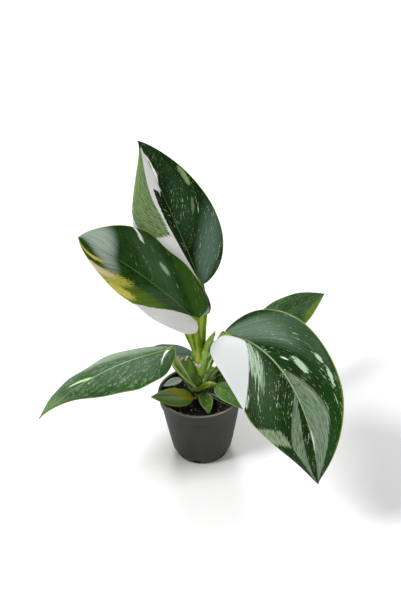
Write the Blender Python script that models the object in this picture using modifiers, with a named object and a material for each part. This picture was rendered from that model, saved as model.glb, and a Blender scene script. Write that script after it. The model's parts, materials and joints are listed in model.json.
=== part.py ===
"""A potted philodendron: a young variegated plant in a thin plastic nursery pot.

Metres, +Z up. The origin is the middle of the pot's flat base, so the plant stands on z = 0.
Leaves, stalks and stem are placed from the stem's foot, at the middle of the soil's surface.
Headings are degrees seen from above, 0 along +X and 90 along +Y. Climbs are degrees above level.
"""
import math

import bmesh
import bpy
import numpy as np
from mathutils import Matrix, Vector

# ---------------------------------------------------------------- driving dimensions
# nursery pot
POT_HEIGHT = 0.052
RIM_DIAMETER = 0.060
BASE_DIAMETER = 0.035
SHOULDER_DIAMETER = 0.0436       # where the wall turns in to the base
SHOULDER_HEIGHT = 0.007
WALL = 0.0009
FLOOR = 0.0012
BAND_HEIGHT = 0.008              # the thicker band under the rim
BAND_STEP = 0.0007               # how far the band stands out from the wall
WALL_BULGE = 0.0004              # the wall is slightly convex between shoulder and band
HEEL_SHARE = 0.18                # the base's rounded edge, as a share of the shoulder's height
DRAIN_COUNT = 6
DRAIN_WIDTH = 0.0050
DRAIN_HEIGHT = 0.0022
DRAIN_DEPTH = 0.0054             # along the radius, through the wall's corner
DRAIN_TURN = 18.0                # heading of the first drainage slot

# potting soil
HEADSPACE = 0.006                # rim down to the soil at the stem
SOIL_FALL = 0.0010               # the surface is this much lower at the wall
CROWN_RADIUS = 0.6               # where the surface starts to fall faster, as a share of its radius
CROWN_FALL = 0.3                 # how much of the fall is reached there

# stem and roots
STEM_RADIUS = 0.0045
STEM_HEIGHT = 0.018              # above the soil
ROOT_DEPTH = 0.011               # of the stem's buried end
STEM_BELLY = 0.4                 # where the buried part starts to narrow, as a share of its depth
STEM_SHARES = (0.6, 0.9, 1.0, 1.0)   # of its radius: buried end, belly, soil's surface and top
STEM_BACK = 0.005                # the plant stands a little behind the pot's axis
ROOT_COUNT = 5
ROOT_RADIUS = 0.0012
ROOT_REACH = 0.013               # how far out the roots grow
ROOT_DROP = 0.016                # how far down they grow
ROOT_TAPER = 0.5                 # radius at the tip, as a share of the radius at the stem
ROOT_TURN = 30.0                 # heading of the first root
ROOT_TOP = 0.8                   # where they leave the stem, as a share of its depth
ROOT_ARC = 1.3                   # how far round they bend, in radians
ROOT_UNEVEN = 0.15               # every other root is this share shorter

# leaves
BLADE_THICKNESS = 0.0006
SHEATH_THICKNESS = 0.0007
BASE_SWELL = 2.6                 # how quickly a blade widens from the joint
TIP_NARROWS = 1.7                # how late it narrows towards the tip
CURL_STEPS = 24                  # short chords that follow a half's curl
LOBE_POWER = 1.6                 # how sharply the lobes at the base reach back
STALK_TAPER = 0.75               # a stalk's radius at the blade, as a share of its radius at the stem
STALK_REACH = 0.40               # how far the end directions hold, as a share of the stalk's span
OVER_RIM = 0.45                  # a low leaf climbs this many degrees over a rim one metre away
LOBE_LENGTH = 0.35               # how much of a blade's length its lobes take

# rolled new leaf: its foot on the stem and its tip, from the stem's foot
SPEAR_RADIUS = 0.0019
SPEAR_NODE = 0.013
SPEAR_LEAVE = (8.0, 20.0, 80.0)  # heading on the stem, then its own heading and climb there
SPEAR_TIP = (0.0105, -0.001, 0.051)
SPEAR_MEET = (350.0, 66.0)       # heading and climb at the tip
SPEAR_BELLY = 0.35               # where it starts to narrow, as a share of its length
SPEAR_POINT = 0.92               # how much of its radius is gone at the tip
SPEAR_STEPS = 10

# the sheath that the new leaf grows out of
SPEAR_SHEATH_FACING = 45.0
SPEAR_SHEATH_WRAP = 170.0
SPEAR_SHEATH_ROWS = (1, 7)       # which of the new leaf's steps it covers
SPEAR_SHEATH_COLUMNS = 6
SPEAR_SHEATH_FLARE = 0.0002
SPEAR_SHEATH_EDGE = (0.0, 0.0006, 0.0012, 0.0016)

# the sheath left by an old leaf, torn off at the top: its axis is given from the stem's foot
TORN_SHEATH_FOOT = (0.0, 0.0, 0.008)
TORN_SHEATH_TOP = (-0.0115, -0.0065, 0.038)
TORN_SHEATH_FACING = 209.0
TORN_SHEATH_WRAP = 130.0
TORN_SHEATH_COLUMNS = 8
TORN_SHEATH_NARROWS = 0.0006
TORN_SHEATH_EDGE = (0.0, -0.002, 0.001, -0.0025, 0.0)

# dead stalk lying on the soil
DRY_RADIUS = 0.0011
DRY_TAPER = 0.8                  # radius of its outer end, as a share of DRY_RADIUS
DRY_LENGTH = 0.0095
DRY_BACK = 0.012                 # behind the pot's axis
DRY_FROM_WALL = 0.0004           # its outer end stays this far from the wall
DRY_LIFT = 0.0003                # its middle is bent up this much

# clearances: touching pieces keep FIT apart
FIT = 0.0003
SHEATH_FIT = 0.0002              # more room, between a sheath and what it wraps

# mesh fineness
TURN_STEPS = 40
STALK_STEPS = 9
ROOT_STEPS = 6
SHEATH_ROWS = 6

# ---------------------------------------------------------------- derived places
RIM_RADIUS = RIM_DIAMETER / 2
MOUTH_RADIUS = RIM_RADIUS - BAND_STEP - WALL
INNER_BASE = BASE_DIAMETER / 2 - WALL / 2
SOIL_LEVEL = POT_HEIGHT - HEADSPACE
STEM_FOOT = np.array((0.0, STEM_BACK, SOIL_LEVEL))

# ---------------------------------------------------------------- the leaves
# node: height of the stalk's foot on the stem; None stands it on top of the stem, seat from its axis
# leave, rise: heading and climb at which the stalk leaves the stem; stalk: its radius there
# joint: where the stalk meets the blade, from the stem's foot; meet: the stalk's direction there
# heading, climb: the midrib's direction at the joint; sweep, droop: how much these change to the tip
# roll, twist: tilt about the midrib, right side down; half: widths left and right of the midrib
# fold: how far each half stands up from the midrib; curl: how far its margin bends
# lobe: how far the base reaches back; base: widths at the joint, as shares of the widest
# widest: places of the widest parts; tip: how drawn out the tip is. Pairs are left half, right half
# leaves that cross the rim have their joint's height from the rim, and those that end inside the
# pot are as long as its mouth leaves room for
LEAVES = {
    "top_leaf": dict(
        node=None, seat=0.0036, leave=65, rise=88, stalk=0.0025,
        joint=(0.003, 0.005, 0.087), meet=(180, 84),
        heading=182, climb=73, length=0.116, sweep=11, droop=3, roll=-84, twist=8,
        half=(0.030, 0.027), fold=(38, 18), curl=(-26, -18), lobe=0.0,
        base=(0.2, 0.2), widest=(0.62, 0.42), tip=(1.5, 0.85)),
    "upper_left_leaf": dict(
        node=None, seat=0.0029, leave=222, rise=88, stalk=0.0031,
        joint=(-0.001, -0.013, 0.071), meet=(250, 66),
        heading=204, climb=55, length=0.115, sweep=2, droop=14, roll=-30, twist=-14,
        half=(0.028, 0.0248), fold=(12, 36), curl=(-16, -8), lobe=0.003,
        base=(0.2, 0.6), widest=(0.50, 0.60), tip=(0.64, 0.78)),
    "right_leaf": dict(
        node=STEM_HEIGHT - 0.002, leave=315, rise=78, stalk=0.0026,
        joint=(0.0165, -0.017, 0.062), meet=(310, 45),
        heading=-44, climb=23, length=0.137, sweep=-32, droop=103, roll=14, twist=40,
        half=(0.035, 0.0345), fold=(38, 10), curl=(-26, -12), lobe=0.003,
        base=(0.1, 0.36), widest=(0.62, 0.56), tip=(1.3, 0.85)),
    "rear_right_leaf": dict(
        node=0.008, leave=35, rise=50, stalk=0.0018,
        joint=(0.0345, 0.022, 0.022), meet=(30, 25),
        heading=40, climb=27, length=0.086, sweep=6, droop=44, roll=24, twist=8,
        half=(0.0125, 0.0155), fold=(14, 8), curl=(-20, -24), lobe=0.003,
        base=(0.2, 0.2), widest=(0.42, 0.48), tip=(1.2, 1.1)),
    "left_leaf": dict(
        node=0.005, leave=208, rise=44, stalk=0.0021,
        joint=(-0.0130 - STEM_RADIUS, -0.00675 - STEM_RADIUS / 2, 0.046), meet=(200, 98),
        heading=200, climb=3, length=0.111, sweep=37, droop=9, roll=8, twist=6,
        half=(0.031, 0.0275), fold=(4, 2), curl=(-30, -30), lobe=0.0,
        base=(0.2, 0.2), widest=(0.38, 0.42), tip=(1.9, 1.3)),
    "rear_left_leaf": dict(
        node=0.008, leave=125, rise=50, stalk=0.0016,
        joint=(-0.004, 0.017, 0.020), meet=(165, 25),
        heading=172, climb=6, length=0.050, sweep=6, droop=24, roll=-4, twist=0,
        half=(0.011, 0.011), fold=(12, 12), curl=(-20, -20), lobe=0.001,
        base=(0.2, 0.2), widest=(0.42, 0.42), tip=(1.0, 1.0)),
    "basal_left_leaf": dict(
        node=0.0025, leave=245, rise=20, stalk=0.0011,
        joint=(-0.005, -0.013, HEADSPACE - 0.0005), meet=(185, 8),
        heading=182, climb=OVER_RIM / RIM_RADIUS, length=0.030, sweep=6, droop=14, roll=-12, twist=0,
        half=(0.0095, 0.0075), fold=(12, 12), curl=(-22, -22), lobe=0.0,
        base=(0.2, 0.2), widest=(0.42, 0.42), tip=(1.0, 1.0)),
    "basal_front_leaf": dict(
        node=0.0025, leave=278, rise=25, stalk=0.0011,
        joint=(0.0035, -0.010, HEADSPACE), meet=(278, 15),
        heading=278, climb=10, length=MOUTH_RADIUS - 0.0099, sweep=2, droop=40, roll=0, twist=0,
        half=(0.005, 0.005), fold=(18, 18), curl=(-25, -25), lobe=0.0,
        base=(0.2, 0.2), widest=(0.45, 0.45), tip=(1.0, 1.0)),
    "basal_right_leaf": dict(
        node=0.006, leave=300, rise=20, stalk=0.0015,
        joint=(0.0105, -0.005, HEADSPACE + 0.005), meet=(330, 10),
        heading=-50, climb=4, length=0.033, sweep=-2, droop=22, roll=8, twist=0,
        half=(0.009, 0.008), fold=(16, 16), curl=(-18, -18), lobe=0.0,
        base=(0.2, 0.2), widest=(0.42, 0.42), tip=(1.0, 1.0)),
    "basal_dark_leaf": dict(
        node=0.0025, leave=318, rise=15, stalk=0.0010,
        joint=(0.0085, -0.0085, HEADSPACE - 0.0018), meet=(312, 8),
        heading=-50, climb=2, length=MOUTH_RADIUS - 0.0119, sweep=8, droop=10, roll=4, twist=0,
        half=(0.0045, 0.0045), fold=(20, 20), curl=(-18, -18), lobe=0.0,
        base=(0.2, 0.2), widest=(0.45, 0.45), tip=(1.0, 1.0)),
    "basal_folded_leaf": dict(
        node=0.006, leave=347, rise=15, stalk=0.0011,
        joint=(0.0105, 0.0005, HEADSPACE + 0.0065), meet=(5, 50),
        heading=6, climb=48, length=0.014, sweep=-10, droop=110, roll=0, twist=0,
        half=(0.006, 0.006), fold=(-22, -22), curl=(-40, -40), lobe=0.0,
        base=(0.2, 0.2), widest=(0.45, 0.45), tip=(0.8, 0.8)),
    "basal_pale_leaf": dict(
        node=0.0025, leave=182, rise=15, stalk=0.0010,
        joint=(-0.010, 0.002, HEADSPACE - 0.0018), meet=(190, 5),
        heading=192, climb=5, length=MOUTH_RADIUS - 0.0124, sweep=6, droop=12, roll=-10, twist=0,
        half=(0.005, 0.0045), fold=(24, 24), curl=(-20, -20), lobe=0.0,
        base=(0.2, 0.2), widest=(0.45, 0.45), tip=(1.0, 1.0)),
}

# blade fineness: rows along the midrib, strips on each side of it
BIG_GRID = (12, 3)
SMALL_GRID = (7, 2)


# ---------------------------------------------------------------- directions and paths
def bearing(heading, climb):
    """Unit vectors along a direction, level to its right, and up across both."""
    turn = np.radians(heading)
    lift = np.radians(climb)
    along = np.stack([np.cos(lift) * np.cos(turn), np.cos(lift) * np.sin(turn), np.sin(lift)], -1)
    side = np.stack([np.sin(turn), -np.cos(turn), 0.0 * turn * lift], -1)
    return along, side, np.cross(side, along)


def smooth_path(start, start_way, end, end_way, steps):
    """Points on a curve that leaves start and reaches end in the given directions."""
    span = np.linalg.norm(end - start) * STALK_REACH
    first = start + start_way * span
    last = end - end_way * span
    t = np.linspace(0.0, 1.0, steps + 1)[:, None]
    return ((1 - t)**3 * start + 3 * (1 - t)**2 * t * first
            + 3 * (1 - t) * t**2 * last + t**3 * end)


def stalk_start(leaf):
    """Where a stalk's centre line starts: off the stem's side, or on its top."""
    out = bearing(leaf["leave"], 0.0)[0]
    rise = math.radians(leaf["rise"])
    if leaf["node"] is None:
        height = STEM_HEIGHT + FIT + leaf["stalk"] * math.cos(rise)
        return STEM_FOOT + out * leaf["seat"] + np.array((0.0, 0.0, height))
    away = STEM_RADIUS + FIT + leaf["stalk"] * math.sin(rise)
    return STEM_FOOT + out * away + np.array((0.0, 0.0, leaf["node"]))


def joint_room(leaf, stalk_way):
    """How far the stalk's end stays back so that its rim clears the folded base of the blade."""
    radius = leaf["stalk"] * STALK_TAPER
    narrow = min(share * half for share, half in zip(leaf["base"], leaf["half"]))
    reach = min(1.0, radius / narrow)
    side, up = blade_tilt(leaf, np.array((0.0,)))[1:]
    behind = 0.0
    for sign, fold in zip((-1, 1), leaf["fold"]):
        rib = sign * side[0] * math.cos(math.radians(fold)) + up[0] * math.sin(math.radians(fold))
        behind = max(behind, -float(rib @ stalk_way))
    return FIT + BLADE_THICKNESS / 2 + behind * radius + leaf["lobe"] * reach**LOBE_POWER


def stalk_path(leaf):
    """Centre line of a stalk, from the stem to just under its blade."""
    end_way = bearing(*leaf["meet"])[0]
    end = STEM_FOOT + np.array(leaf["joint"]) - end_way * joint_room(leaf, end_way)
    start_way = bearing(leaf["leave"], leaf["rise"])[0]
    return smooth_path(stalk_start(leaf), start_way, end, end_way, STALK_STEPS)


# ---------------------------------------------------------------- the shape of a blade
def blade_tilt(leaf, s):
    """Directions along, across and up from the blade at shares s of its length."""
    along, side, up = bearing(leaf["heading"] + leaf["sweep"] * s, leaf["climb"] - leaf["droop"] * s)
    roll = np.radians(leaf["roll"] + leaf["twist"] * s)[:, None]
    return along, side * np.cos(roll) - up * np.sin(roll), up * np.cos(roll) + side * np.sin(roll)


def midrib(leaf, rows):
    """Points on the midrib, which bends evenly from the joint to the tip."""
    s = (np.arange(rows) + 0.5) / rows
    steps = bearing(leaf["heading"] + leaf["sweep"] * s, leaf["climb"] - leaf["droop"] * s)[0]
    joint = STEM_FOOT + np.array(leaf["joint"])
    return np.vstack([joint, joint + np.cumsum(steps * leaf["length"] / rows, axis=0)])


def width_share(leaf, half, s):
    """Width of a half at s as a share of its widest: rounded at the base, drawn out at the tip."""
    base, widest, tip = leaf["base"][half], leaf["widest"][half], leaf["tip"][half]
    below = np.clip((widest - s) / widest, 0.0, 1.0)
    above = np.clip((s - widest) / (1.0 - widest), 0.0, 1.0)
    from_joint = 1.0 - (1.0 - base) * below**BASE_SWELL
    return np.where(s < widest, from_joint, (1.0 - above**TIP_NARROWS)**tip)


def across(fold, curl, q):
    """Sideways and upward travel to q along a half whose slope runs from fold to fold + curl."""
    u = (np.arange(CURL_STEPS) + 0.5) / CURL_STEPS * abs(q)
    slope = np.radians(fold + curl * u)
    return math.copysign(abs(q), q) * np.cos(slope).mean(), abs(q) * np.sin(slope).mean()


def blade_points(leaf, rows, strips):
    """The blade's middle surface as points [row, strip], from the joint to the tip."""
    s = np.linspace(0.0, 1.0, rows + 1)
    rib = midrib(leaf, rows)
    along, side, up = blade_tilt(leaf, s)
    points = np.zeros((rows + 1, 2 * strips + 1, 3))
    for column, q in enumerate(np.linspace(-1.0, 1.0, 2 * strips + 1)):
        half = 1 if q > 0 else 0
        out, lift = across(leaf["fold"][half], leaf["curl"][half], q)
        reach = (leaf["half"][half] * width_share(leaf, half, s))[:, None]
        back = leaf["lobe"] * abs(q)**LOBE_POWER * np.clip(1.0 - s / LOBE_LENGTH, 0.0, 1.0)[:, None]**2
        points[:, column] = rib + side * out * reach + up * lift * reach - along * back
    return points


# ---------------------------------------------------------------- Blender helpers
def clear_scene():
    for item in list(bpy.data.objects):
        bpy.data.objects.remove(item, do_unlink=True)


def new_collection(name):
    group = bpy.data.collections.new(name)
    bpy.context.scene.collection.children.link(group)
    return group


def material(name, colour, roughness):
    finish = bpy.data.materials.new(name)
    finish.use_nodes = True
    shader = finish.node_tree.nodes["Principled BSDF"]
    shader.inputs["Base Color"].default_value = (*colour, 1.0)
    shader.inputs["Roughness"].default_value = roughness
    shader.inputs["Metallic"].default_value = 0.0
    finish.diffuse_color = (*colour, 1.0)
    return finish


def add_object(name, mesh, group, finish=None):
    item = bpy.data.objects.new(name, mesh)
    group.objects.link(item)
    if finish is not None:
        item.data.materials.append(finish)
    return item


def add_cutter(name, mesh, group):
    item = add_object(name, mesh, group)
    item.hide_render = True
    item.display_type = "WIRE"
    return item


def shade_round(item, angle=35.0):
    item.data.shade_smooth()
    item.data.set_sharp_from_angle(angle=math.radians(angle))


def turned(name, profile, group, finish=None):
    """A round piece: a profile at +X, run down its outer side, swept about Z."""
    mesh = bpy.data.meshes.new(name)
    points = [(radius, 0.0, height) for radius, height in profile]
    mesh.from_pydata(points, [(i, i + 1) for i in range(len(points) - 1)], [])
    item = add_object(name, mesh, group, finish)
    screw = item.modifiers.new("turn", "SCREW")
    screw.axis = "Z"
    screw.steps = TURN_STEPS
    screw.render_steps = TURN_STEPS
    screw.use_merge_vertices = True
    screw.merge_threshold = 0.00001
    screw.use_smooth_shade = True
    return item


def tube(name, points, radii, group, finish=None):
    """A round tapered tube along points, closed at both ends, as a mesh."""
    shape = bpy.data.curves.new(name, "CURVE")
    shape.dimensions = "3D"
    shape.bevel_depth = 1.0
    shape.bevel_resolution = 2
    shape.use_fill_caps = True
    line = shape.splines.new("POLY")
    line.points.add(len(points) - 1)
    for place, point, radius in zip(line.points, points, radii):
        place.co = (*[float(v) for v in point], 1.0)
        place.radius = float(radius)
    wire = bpy.data.objects.new(name + "_wire", shape)
    group.objects.link(wire)
    seen = wire.evaluated_get(bpy.context.evaluated_depsgraph_get())
    mesh = bpy.data.meshes.new_from_object(seen)
    mesh.name = name
    bpy.data.objects.remove(wire, do_unlink=True)
    weld(mesh)
    item = add_object(name, mesh, group, finish)
    shade_round(item)
    return item


def weld(mesh):
    """Joins a curve's loose end caps to its wall."""
    cage = bmesh.new()
    cage.from_mesh(mesh)
    bmesh.ops.remove_doubles(cage, verts=cage.verts, dist=0.00001)
    bmesh.ops.recalc_face_normals(cage, faces=cage.faces)
    cage.to_mesh(mesh)
    cage.free()


def sheet(name, points, thickness, group, finish):
    """A thin piece: a grid moved onto points [row, column], then given its thickness."""
    rows, columns = points.shape[0] - 1, points.shape[1] - 1
    cage = bmesh.new()
    bmesh.ops.create_grid(cage, x_segments=rows, y_segments=columns, size=0.5)
    for corner in cage.verts:
        row = round((corner.co.x + 0.5) * rows)
        column = round((corner.co.y + 0.5) * columns)
        corner.co = Vector([float(v) for v in points[row, column]])
    bmesh.ops.remove_doubles(cage, verts=cage.verts, dist=0.00001)
    mesh = bpy.data.meshes.new(name)
    cage.to_mesh(mesh)
    cage.free()
    item = add_object(name, mesh, group, finish)
    solid = item.modifiers.new("thickness", "SOLIDIFY")
    solid.thickness = thickness
    solid.offset = 0.0
    shade_round(item, 60.0)
    return item


def cut(item, cutter, operation="DIFFERENCE"):
    step = item.modifiers.new(operation.lower(), "BOOLEAN")
    step.operation = operation
    step.solver = "EXACT"
    step.object = cutter


# ---------------------------------------------------------------- nursery pot
def wall_radius(height):
    """Outer radius of the wall, without the band, between shoulder and rim."""
    share = (height - SHOULDER_HEIGHT) / (POT_HEIGHT - SHOULDER_HEIGHT)
    straight = SHOULDER_DIAMETER / 2 + share * (RIM_RADIUS - BAND_STEP - SHOULDER_DIAMETER / 2)
    return straight + WALL_BULGE * math.sin(math.pi * share)


def pot_profile():
    """From the middle of the inner floor up the inside, over the rim and down the outside."""
    band_foot = POT_HEIGHT - BAND_HEIGHT
    heights = np.linspace(SHOULDER_HEIGHT, band_foot, 5)
    profile = [(0.0, FLOOR), (INNER_BASE, FLOOR)]
    profile += [(wall_radius(z) - WALL, z) for z in heights]
    profile += [(MOUTH_RADIUS, POT_HEIGHT - WALL / 2)]
    profile += [(RIM_RADIUS - BAND_STEP - WALL / 2, POT_HEIGHT)]
    profile += [(RIM_RADIUS - WALL / 4, POT_HEIGHT)]
    profile += [(RIM_RADIUS, POT_HEIGHT - WALL / 2)]
    profile += [(wall_radius(band_foot) + BAND_STEP, band_foot + WALL / 2)]
    profile += [(wall_radius(z), z) for z in heights[::-1]]
    profile += [(BASE_DIAMETER / 2 + WALL, SHOULDER_HEIGHT * HEEL_SHARE)]
    profile += [(BASE_DIAMETER / 2, 0.0), (0.0, 0.0)]
    return profile


def drain_cutter(group):
    """Slots through the turned-in corner of the pot, one box for each."""
    cage = bmesh.new()
    middle = (SHOULDER_DIAMETER + BASE_DIAMETER) / 4
    for index in range(DRAIN_COUNT):
        turn = math.radians(DRAIN_TURN + index * 360.0 / DRAIN_COUNT)
        made = bmesh.ops.create_cube(cage, size=1.0)["verts"]
        bmesh.ops.scale(cage, vec=(DRAIN_DEPTH, DRAIN_WIDTH, DRAIN_HEIGHT), verts=made)
        bmesh.ops.translate(cage, vec=(middle + WALL, 0.0, FLOOR + FIT + DRAIN_HEIGHT / 2), verts=made)
        bmesh.ops.rotate(cage, cent=(0, 0, 0), matrix=Matrix.Rotation(turn, 3, "Z"), verts=made)
    mesh = bpy.data.meshes.new("drain_cutter")
    cage.to_mesh(mesh)
    cage.free()
    return add_cutter("drain_cutter", mesh, group)


def nursery_pot(parts, cutters, finish):
    pot = turned("nursery_pot", pot_profile(), parts, finish)
    cut(pot, drain_cutter(cutters))
    return pot


# ---------------------------------------------------------------- soil, stem and roots
def soil_profile():
    """From the middle of the surface out to the wall and down to the middle of the underside."""
    edge = SOIL_LEVEL - SOIL_FALL
    heights = np.linspace(edge, SHOULDER_HEIGHT, 4)
    profile = [(0.0, SOIL_LEVEL)]
    profile += [(wall_radius(edge) * CROWN_RADIUS, SOIL_LEVEL - SOIL_FALL * CROWN_FALL)]
    profile += [(wall_radius(z) - WALL - FIT, z) for z in heights]
    profile += [(INNER_BASE - FIT, FLOOR + FIT), (0.0, FLOOR + FIT)]
    return profile


def root_path(index, longer):
    """A root curves out from the stem's buried end and down into the soil."""
    heading = index * 360.0 / ROOT_COUNT + ROOT_TURN
    reach = ROOT_REACH + longer
    out = bearing(heading, 0.0)[0]
    t = np.linspace(0.0, 1.0, ROOT_STEPS)
    top = STEM_FOOT - np.array((0.0, 0.0, ROOT_DEPTH * ROOT_TOP))
    fall = ROOT_DROP * (1.0 - ROOT_UNEVEN * (1 - index % 2)) + longer
    bend = np.sin(t * ROOT_ARC)
    return [top + out * reach * b - np.array((0, 0, fall * share**1.5)) for b, share in zip(bend, t)]


def stem_with_roots(name, parts, helpers, finish, grow=0.0):
    """The stem, tapered at its buried end, and the roots, as one body. grow fattens every surface."""
    bottom = -ROOT_DEPTH - grow
    heights = (bottom, -ROOT_DEPTH * STEM_BELLY, 0.0, STEM_HEIGHT)
    line = [STEM_FOOT + np.array((0.0, 0.0, z)) for z in heights]
    radii = [STEM_RADIUS * share + grow for share in STEM_SHARES]
    stem = tube(name, line, radii, parts, finish)
    for index in range(ROOT_COUNT):
        taper = np.linspace(ROOT_RADIUS, ROOT_RADIUS * ROOT_TAPER, ROOT_STEPS) + grow
        root = tube(f"{name}_root_{index + 1}", root_path(index, grow), taper, helpers)
        root.hide_render = True
        root.display_type = "WIRE"
        cut(stem, root, "UNION")
    return stem


def potting_soil(parts, cutters, finish):
    soil = turned("potting_soil", soil_profile(), parts, finish)
    hole = stem_with_roots("root_room", cutters, cutters, None, grow=FIT)
    hole.hide_render = True
    hole.display_type = "WIRE"
    cut(soil, hole)
    return soil


# ---------------------------------------------------------------- leaves
def leaf(name, parts, blade_finish, stalk_finish, grid):
    """A blade and the stalk that carries it."""
    shape = LEAVES[name]
    path = stalk_path(shape)
    radii = shape["stalk"] * np.linspace(1.0, STALK_TAPER, len(path))
    tube(name + "_stalk", path, radii, parts, stalk_finish)
    sheet(name + "_blade", blade_points(shape, *grid), BLADE_THICKNESS, parts, blade_finish)


def spear_path():
    """Centre line of the rolled new leaf, leaning out to the right of the older stalks."""
    foot, heading, climb = SPEAR_LEAVE
    start = STEM_FOOT + bearing(foot, 0.0)[0] * (STEM_RADIUS + FIT + SPEAR_RADIUS)
    start = start + np.array((0.0, 0.0, SPEAR_NODE))
    end = STEM_FOOT + np.array(SPEAR_TIP)
    return smooth_path(start, bearing(heading, climb)[0], end, bearing(*SPEAR_MEET)[0], SPEAR_STEPS)


def new_leaf_spear(parts, finish):
    """The next leaf, still rolled up: fattest a third of the way up and drawn out to a point."""
    share = np.linspace(0.0, 1.0, SPEAR_STEPS + 1)
    past = np.clip((share - SPEAR_BELLY) / (1.0 - SPEAR_BELLY), 0.0, 1.0)
    radii = SPEAR_RADIUS * (1.0 - SPEAR_POINT * past**1.6)
    return tube("new_leaf_spear", spear_path(), radii, parts, finish)


def gutter(path, radii, facing, wrap, teeth, columns):
    """An open sheath: arcs about a path, centred on a heading, with an uneven top edge."""
    points = np.zeros((len(path), columns + 1, 3))
    for row, (centre, radius) in enumerate(zip(path, radii)):
        for column in range(columns + 1):
            turn = facing + wrap * (column / columns - 0.5)
            points[row, column] = centre + bearing(turn, 0.0)[0] * radius
    for column in range(columns + 1):
        points[-1, column, 2] += teeth[column % len(teeth)]
    return points


def spear_sheath(parts, finish):
    """The sheath that the new leaf grows out of, open on the side away from the stem."""
    first, last = SPEAR_SHEATH_ROWS
    path = spear_path()[first:last]
    inner = SPEAR_RADIUS + FIT + SHEATH_FIT
    radii = inner + SHEATH_THICKNESS / 2 + np.linspace(0.0, SPEAR_SHEATH_FLARE, len(path))
    points = gutter(path, radii, SPEAR_SHEATH_FACING, SPEAR_SHEATH_WRAP, SPEAR_SHEATH_EDGE,
                    SPEAR_SHEATH_COLUMNS)
    return sheet("spear_sheath", points, SHEATH_THICKNESS, parts, finish)


def torn_sheath(parts, finish):
    """The broad sheath left by an old leaf, torn off at the top, round the stem's left side."""
    start = STEM_FOOT + np.array(TORN_SHEATH_FOOT)
    end = STEM_FOOT + np.array(TORN_SHEATH_TOP)
    path = [start + (end - start) * share for share in np.linspace(0.0, 1.0, SHEATH_ROWS)]
    inner = STEM_RADIUS + FIT + SHEATH_FIT
    radii = inner + SHEATH_THICKNESS / 2 - np.linspace(0.0, TORN_SHEATH_NARROWS, SHEATH_ROWS)
    points = gutter(path, radii, TORN_SHEATH_FACING, TORN_SHEATH_WRAP, TORN_SHEATH_EDGE,
                    TORN_SHEATH_COLUMNS)
    return sheet("torn_sheath", points, SHEATH_THICKNESS, parts, finish)


def dry_stalk(parts, finish):
    """A dead stalk lying on the soil, its outer end near the wall."""
    rest = SOIL_LEVEL + FIT + DRY_RADIUS
    wall = wall_radius(SOIL_LEVEL) - WALL - DRY_FROM_WALL - DRY_RADIUS
    outer = math.sqrt(wall**2 - DRY_BACK**2)
    middle = (outer - DRY_LENGTH / 2, DRY_BACK, rest + DRY_LIFT)
    path = [(outer - DRY_LENGTH, DRY_BACK, rest), middle, (outer, DRY_BACK, rest)]
    return tube("dry_stalk", path, (DRY_RADIUS, DRY_RADIUS, DRY_RADIUS * DRY_TAPER), parts, finish)


# ---------------------------------------------------------------- the plant
def build():
    clear_scene()
    parts = new_collection("potted_philodendron")
    cutters = new_collection("cutters")

    pot_plastic = material("pot_plastic", (0.050, 0.050, 0.042), 0.55)
    soil_mix = material("soil_mix", (0.012, 0.010, 0.007), 0.95)
    stem_green = material("stem_green", (0.100, 0.200, 0.030), 0.45)
    stalk_green = material("stalk_green", (0.130, 0.260, 0.040), 0.40)
    sheath_green = material("sheath_green", (0.110, 0.230, 0.035), 0.45)
    spear_green = material("spear_green", (0.090, 0.230, 0.030), 0.35)
    leaf_dark = material("leaf_dark", (0.025, 0.085, 0.018), 0.30)
    leaf_splashed = material("leaf_splashed", (0.030, 0.080, 0.025), 0.30)
    leaf_speckled = material("leaf_speckled", (0.110, 0.220, 0.080), 0.35)
    leaf_young = material("leaf_young", (0.130, 0.200, 0.040), 0.35)
    leaf_pale = material("leaf_pale", (0.550, 0.580, 0.520), 0.50)
    dry_tissue = material("dry_tissue", (0.550, 0.480, 0.300), 0.80)

    nursery_pot(parts, cutters, pot_plastic)
    potting_soil(parts, cutters, soil_mix)
    stem_with_roots("stem_with_roots", parts, cutters, stem_green)

    leaf("top_leaf", parts, leaf_dark, stalk_green, BIG_GRID)
    leaf("upper_left_leaf", parts, leaf_dark, stalk_green, BIG_GRID)
    leaf("right_leaf", parts, leaf_splashed, stalk_green, BIG_GRID)
    leaf("rear_right_leaf", parts, leaf_splashed, stalk_green, BIG_GRID)
    leaf("left_leaf", parts, leaf_speckled, stalk_green, BIG_GRID)
    leaf("rear_left_leaf", parts, leaf_speckled, stalk_green, SMALL_GRID)
    leaf("basal_left_leaf", parts, leaf_young, stalk_green, SMALL_GRID)
    leaf("basal_front_leaf", parts, leaf_young, stalk_green, SMALL_GRID)
    leaf("basal_right_leaf", parts, leaf_speckled, stalk_green, SMALL_GRID)
    leaf("basal_dark_leaf", parts, leaf_dark, stalk_green, SMALL_GRID)
    leaf("basal_folded_leaf", parts, leaf_dark, stalk_green, SMALL_GRID)
    leaf("basal_pale_leaf", parts, leaf_pale, stalk_green, SMALL_GRID)

    new_leaf_spear(parts, spear_green)
    spear_sheath(parts, sheath_green)
    torn_sheath(parts, sheath_green)
    dry_stalk(parts, dry_tissue)


build()
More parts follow.
